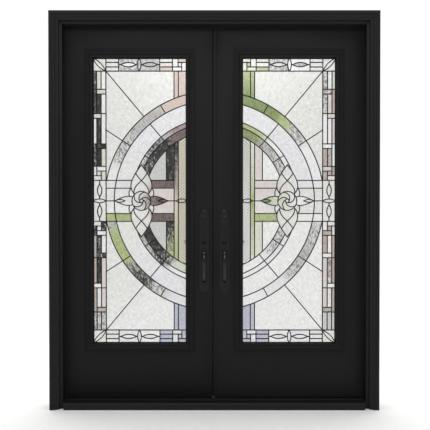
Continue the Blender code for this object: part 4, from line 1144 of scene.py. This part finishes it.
# Rings of a turned part: (times its radius, distance off the plate)
bossLook = {"height": 1.009, "radius": 0.0165, "proud": 0.0007, "sides": 36,
            "rings": ((1.0, 0.0), (0.97, 0.5), (0.90, 0.85), (0.78, 1.0))}
gripLook = {"steps": 40, "sides": 20, "reach": 0.052, "squareness": 0.34, "spread": 0.8, "top": 0.022,
            "foot": 0.016, "thickness": 0.34, "swell": 0.04}
collarLook = {"sides": 28, "sunk": 0.0001,
              "rings": ((1.28, 0.0), (1.30, 0.0012), (1.22, 0.0028), (1.08, 0.0040), (1.0, 0.0044))}
thumbLook = {"steps": 16, "sides": 16, "narrowFrom": 0.55, "narrow": 0.18, "arch": 0.0028, "thick": 0.0014,
             "thin": 0.0003, "fall": 0.0006, "edgeRise": 0.0012, "boxy": (0.4, 0.7)}
leverLook = {"neck": 0.011, "reach": 0.050, "length": 0.112, "bend": 0.020, "back": 0.006,
             "straight": (0.048, 0.090), "rise": (0.5, 0.62, 1.02), "wide": (0.92, 0.30),
             "thick": (0.92, 0.50), "tip": 0.7, "sides": 20}
roseLook = {"sides": 36, "sunk": 0.0001,
            "rings": ((1.75, 0.0), (1.78, 0.0015), (1.62, 0.0042), (1.25, 0.0052), (1.04, 0.0054))}


def turnedRings(x, y, z, wide, thick, look, scale):
    # Oval rings about the middle (x, z), each at y plus its distance off the plate times the scale
    return [[(x + wide * grow * cos(a), y + scale * out, z + thick * grow * sin(a))
             for a in around(look["sides"])] for grow, out in look["rings"]]


def plateRing(x, y, z, half, rise, inset):
    # A long outline with elliptical ends
    endRise = plateLook["endRise"]
    return [(x + end * (half - inset) * cos(a), y, z + end * (rise - endRise + (endRise - inset) * sin(a)))
            for end in (1, -1) for a in arc(pi, plateLook["steps"])]


def makePlate(node, word, outwards):
    low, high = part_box(node)
    back, front = (high.y, low.y) if outwards < 0 else (low.y, high.y)
    (x, z), half, rise = middleOf(low, high), (high.x - low.x) / 2, (high.z - low.z) / 2
    roll, rollWide = plateLook["roll"], plateLook["rollWide"]
    rings = [plateRing(x, back, z, half, rise, 0)]
    rings += [plateRing(x, front - outwards * roll * (1 - sin(a)), z, half, rise,
                        roll * (1 - cos(a)) * rollWide) for a in arc(pi / 2, 6)]
    mesh = skinned(rings, node)
    if outwards < 0:
        thumbLow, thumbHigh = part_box(f"{word}_thumb_latch")
        centre = middleOf(*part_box(f"{word}_lever"))[1]
        clear, slotHalf, past = pick(plateLook, "slotClear slotHalf slotPast")
        (slotX0, slotZ0), (slotX1, slotZ1) = ((thumbLow.x - clear, centre - slotHalf),
                                              (thumbHigh.x + clear, centre + slotHalf))
        mesh = cutAway(mesh, [((slotX0, front - past, slotZ0), (slotX1, back + past, slotZ1))], node)

        # Painted shade: a thin black foam sheet behind the slot under the thumb piece, standing in for the
        # shade inside the latch hole
        inset, top = plateLook["slotShadeInset"], centre - plateLook["slotShadeBelow"]
        corners = [(slotX0 + inset, slotZ0 + inset), (slotX1 - inset, slotZ0 + inset), (slotX1 - inset, top),
                   (slotX0 + inset, top)]
        slotShadeSheet = [[(cornerX, back - out, cornerZ) for cornerX, cornerZ in corners]
                  for out in (plateLook["slotShadeGap"], plateLook["slotShadeProud"])]
        addPiece(f"{word}SlotShadeSheet", skinned(slotShadeSheet, "slotShadeSheet"), [sealSkin], f"{word}_door")
    shadeSmooth(mesh, 40)
    addPiece(f"{node}Finish", mesh, [hardwareCoat], f"{word}_door", [node])

    # Low round boss where the key cylinder sits behind the plate
    rings = turnedRings(x, front, bossLook["height"], bossLook["radius"], bossLook["radius"], bossLook,
                        outwards * bossLook["proud"])
    addPiece(f"{node}Boss", skinned(rings, f"{node}Boss", 40), [hardwareCoat], f"{word}_door")


def sweptBar(path, sizes, flatEnds, count, name):
    # An oval bar along a path, its end rings kept flat against what they stand on
    rings = []
    last = len(path) - 1
    for i, place in enumerate(path):
        along = (Vector(path[min(last, i + 1)]) - Vector(path[max(0, i - 1)])).normalized()
        if i in flatEnds:
            along = Vector((0, copysign(1, along.y), 0))
        across = Vector((1, 0, 0)) if abs(along.x) < 0.8 else Vector((0, 0, 1))
        third = along.cross(across).normalized()
        across = third.cross(along).normalized()
        wide, thick = sizes[i]
        rings.append([Vector(place) + across * wide * cos(a) + third * thick * sin(a) for a in around(count)])
    return skinned(rings, name, 50)


def makeGrip(word):
    node = f"{word}_grip"
    low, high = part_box(node)
    (x, middle), foot, halfRun = middleOf(low, high), high.y, (high.z - low.z) / 2
    steps, topWidth, footWidth = pick(gripLook, "steps top foot")
    path, bar = [], []
    for i in range(steps + 1):
        swing = pi * i / steps
        depth = gripLook["reach"] * sin(swing) ** gripLook["squareness"] if 0 < i < steps else 0.0
        lean = copysign(abs(cos(swing)) ** gripLook["spread"], cos(swing))
        width = topWidth + (footWidth - topWidth) * i / steps
        path.append((x, foot - depth, middle + halfRun * lean))
        bar.append((width / 2 * (1 + gripLook["swell"] * sin(swing)), width * gripLook["thickness"]))
    mesh = sweptBar(path, bar, (0, steps), gripLook["sides"], node)
    addPiece(f"{word}GripBar", mesh, [gripCoat], f"{word}_door", [node])

    # Small turned collars where the grip meets the plate
    for end, name in ((0, "Top"), (steps, "Foot")):
        rings = turnedRings(x, foot - collarLook["sunk"], path[end][2], *bar[end], collarLook, -1)
        addPiece(f"{word}Grip{name}Collar", skinned(rings, "collar", 45), [gripCoat], f"{word}_door")


def makeThumb(word):
    node = f"{word}_thumb_latch"
    low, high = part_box(node)
    x, height = middleOf(low, high)[0], middleOf(*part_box(f"{word}_lever"))[1]
    narrowFrom, (boxyAcross, boxyUp) = thumbLook["narrowFrom"], thumbLook["boxy"]
    rings = []
    for t in arc(1, thumbLook["steps"]):
        narrow = 0 if t < narrowFrom else thumbLook["narrow"] * ((t - narrowFrom) / (1 - narrowFrom)) ** 2
        wide = (high.x - low.x) / 2 * (1 - narrow)
        arch = thumbLook["arch"] * sin(pi * min(1.0, t * 1.05)) ** 1.5
        middle = height + arch - thumbLook["fall"] * t
        thick = thumbLook["thick"] - thumbLook["thin"] * t
        rings.append([(x + copysign(abs(cos(a)) ** boxyAcross, cos(a)) * wide, high.y - (high.y - low.y) * t,
                       middle + copysign(abs(sin(a)) ** boxyUp, sin(a)) * thick
                       + thumbLook["edgeRise"] * t * cos(a) ** 2) for a in around(thumbLook["sides"])])
    addPiece(f"{word}ThumbPiece", skinned(rings, node, 50), [hardwareCoat], bodyOf[node], [node])


def makeLever(word, side):
    node = f"{word}_lever"
    low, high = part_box(node)
    start, height = low.y, middleOf(low, high)[1]
    x = middleOf(*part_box(f"{word}_exterior_plate"))[0]
    reach, length, neck, bend = pick(leverLook, "reach length neck bend")
    first, second, third = (reach * part for part in leverLook["rise"])
    curve = bezier((0, second), (0, third), (bend / 5, reach), (bend, reach), 14)
    curve += bezier((bend, reach), *((out, reach) for out in leverLook["straight"]),
                    (length, reach - leverLook["back"]), 16)[1:]
    path = [(x + side * u, start + out, height) for u, out in [(0, 0), (0, first)] + curve]
    (wide, widthLoss), (thick, thickLoss) = pick(leverLook, "wide thick")
    bar = [(neck * (wide - widthLoss * t), neck * (thick - thickLoss * t)) for t in arc(1, len(path) - 1)]
    bar[-1] = tuple(size * leverLook["tip"] for size in bar[-1])
    mesh = sweptBar(path, bar, (0,), leverLook["sides"], node)
    addPiece(f"{word}LeverBar", mesh, [hardwareCoat], bodyOf[node], [node])

    # Round rose that the lever turns in
    rings = turnedRings(x, start + roseLook["sunk"], height, neck, neck, roseLook, 1)
    addPiece(f"{word}LeverRose", skinned(rings, "rose", 45), [hardwareCoat], f"{word}_door")


for word, side in sides.items():
    makePlate(f"{word}_exterior_plate", word, -1)
    makePlate(f"{word}_interior_plate", word, 1)
    makeGrip(word)
    makeThumb(word)
    makeLever(word, side)
print("scene: handle sets made")


# Butt hinges, with smooth knuckles and countersunk screws

hingeLook = {"gap": 0.0015, "plate": 0.0025, "knuckle": 0.006, "knuckles": 3, "sides": 28, "fit": 0.0003,
             "inset": 0.0004, "corner": 0.006, "leafTo": 0.9, "wingFrom": 0.95,
             "wing": ((0.93, 0.2), (0.2, 0.0)),
             "tips": ((-0.001, 0.72), (0.0011, 0.72), (0.00187, 0.55), (0.0022, 0.25)),
             "screwRadius": 0.0040, "screwRows": (0.014, 0.040, 0.066, 0.088), "screwEdge": 0.010,
             "screwOffset": 0.007, "screwProud": 0.10}
# A screw's head for a radius of 1: its depth, and the arms of the cross cut into it
screwLook = {"sides": 24, "depth": 0.24, "arms": ((1.1, 0.24, 0.2), (0.24, 1.1, 0.2)), "up": (0, 0, 0.12)}


def leafOutline(y0, y1, half, corner):
    # The leaf's face as (y, z), with rounded outer corners
    return ([(y1, -half), (y1, half)]
            + [(y0 + corner - corner * sin(a), half - corner + corner * cos(a)) for a in arc(pi / 2, 6)]
            + [(y0 + corner - corner * cos(a), -half + corner - corner * sin(a)) for a in arc(pi / 2, 6)])


def screwNodes():
    # A flat head with a cross cut in it, set on every point it is given
    tree, given = newTree("countersunkScrews", ("Radius",), "Coat")
    head = addNode(tree, "GeometryNodeMeshCylinder",
                   inputs={"Vertices": screwLook["sides"], "Radius": 1.0, "Depth": screwLook["depth"]})
    cut = addNode(tree, "GeometryNodeMeshBoolean", {"operation": "DIFFERENCE"},
                  {"Mesh 1": head.outputs["Mesh"]})
    for size in screwLook["arms"]:
        arm = addNode(tree, "GeometryNodeMeshCube", inputs={"Size": size})
        raised = addNode(tree, "GeometryNodeTransform",
                         inputs={"Geometry": arm.outputs["Mesh"], "Translation": screwLook["up"]})
        tree.links.new(raised.outputs["Geometry"], cut.inputs["Mesh 2"])
    facing = addNode(tree, "GeometryNodeInputNamedAttribute", {"data_type": "FLOAT_VECTOR"},
                     {"Name": "facing"})
    turn = addNode(tree, "FunctionNodeAlignRotationToVector", {"axis": "Z"},
                   {"Vector": facing.outputs["Attribute"]})
    size = addNode(tree, "ShaderNodeCombineXYZ", inputs={axis: given["Radius"] for axis in "XYZ"})
    placed = addNode(tree, "GeometryNodeInstanceOnPoints",
                     inputs={"Points": given["Geometry"], "Instance": cut.outputs["Mesh"],
                             "Rotation": turn.outputs["Rotation"], "Scale": size.outputs["Vector"]})
    return endTree(tree, placed.outputs["Instances"], given["Coat"])


def ringAt(x, y, z, radius):
    return [(x + radius * cos(a), y + radius * sin(a), z) for a in around(hingeLook["sides"])]


def leafMesh(node, leaf, x, y, z, half, low, turned):
    # One leaf of a hinge: its plate, its share of the knuckles about the pin at (x, y), and the pin's tips
    knuckle, plate, gap, fit, inset = pick(hingeLook, "knuckle plate gap fit inset")
    near, far = turned * gap, turned * (gap + plate)
    pitch = 2 * half / hingeLook["knuckles"]
    bm = bmesh.new()
    outline = leafOutline(low.y, y - knuckle * hingeLook["leafTo"], half, hingeLook["corner"])
    skin(bm, [[(x + across, out, z + up) for out, up in outline] for across in (near, far)])
    wingY = y - knuckle * hingeLook["wingFrom"]
    wing = [(near, wingY), (far, wingY)]
    wing += [(turned * knuckle * out, y - knuckle * back) for out, back in hingeLook["wing"]]
    for k in range(0 if leaf == "frame" else 1, hingeLook["knuckles"], 2):
        z0, z1 = z - half + k * pitch + fit / 2, z - half + (k + 1) * pitch - fit / 2
        skin(bm, [ringAt(x, y, up, radius) for up, radius in ((z0, knuckle - inset), (z0 + inset, knuckle),
                                                             (z1 - inset, knuckle), (z1, knuckle - inset))])
        skin(bm, [[(x + across, out, up) for across, out in wing] for up in (z0, z1)])
    if leaf == "frame":
        for end in (-1, 1):
            skin(bm, [ringAt(x, y, z + end * (half + out), knuckle * grow)
                      for out, grow in hingeLook["tips"]])
    return meshFrom(bm, node, 35)


def makeHinges():
    tree = screwNodes()
    knuckle, gap, screw = hingeLook["knuckle"], hingeLook["gap"], hingeLook["screwRadius"]
    spots = {body: ([], []) for body in ("frame", "left_door", "right_door")}
    for word, side in sides.items():
        for spot in ("top", "middle", "bottom"):
            frameLow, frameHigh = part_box(f"{word}_{spot}_hinge_frame_leaf")
            x = frameHigh.x - knuckle if side < 0 else frameLow.x + knuckle
            z, half = (frameHigh.z + frameLow.z) / 2, (frameHigh.z - frameLow.z) / 2
            for leaf, away in (("frame", 1), ("door", -1)):
                node = f"{word}_{spot}_hinge_{leaf}_leaf"
                low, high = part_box(node)
                turned, body = side * away, bodyOf[node]
                mesh = leafMesh(node, leaf, x, high.y - knuckle, z, half, low, turned)
                addPiece(node + "Finish", mesh, [hardwareCoat], body, [node])
                places, facings = spots[body]
                screwX = x + turned * (gap + screw * hingeLook["screwProud"])
                for row, up in enumerate(hingeLook["screwRows"]):
                    out = low.y + hingeLook["screwEdge"] + (hingeLook["screwOffset"] if row % 2 else 0.0)
                    places.append((screwX, out, z - half + up))
                    facings += (-turned, 0.0, 0.0)
    for body, (places, facings) in spots.items():
        mesh = bpy.data.meshes.new("screwSpots")
        mesh.from_pydata(places, [], [])
        mesh.attributes.new("facing", "FLOAT_VECTOR", "POINT").data.foreach_set("vector", facings)
        screws = runNodes(linked(f"{body}HingeScrews", mesh), tree, {"Radius": screw, "Coat": hardwareCoat})
        addPiece(f"{body}HingeScrews", screws, [hardwareCoat], body)


makeHinges()
print("scene: hinges hung")
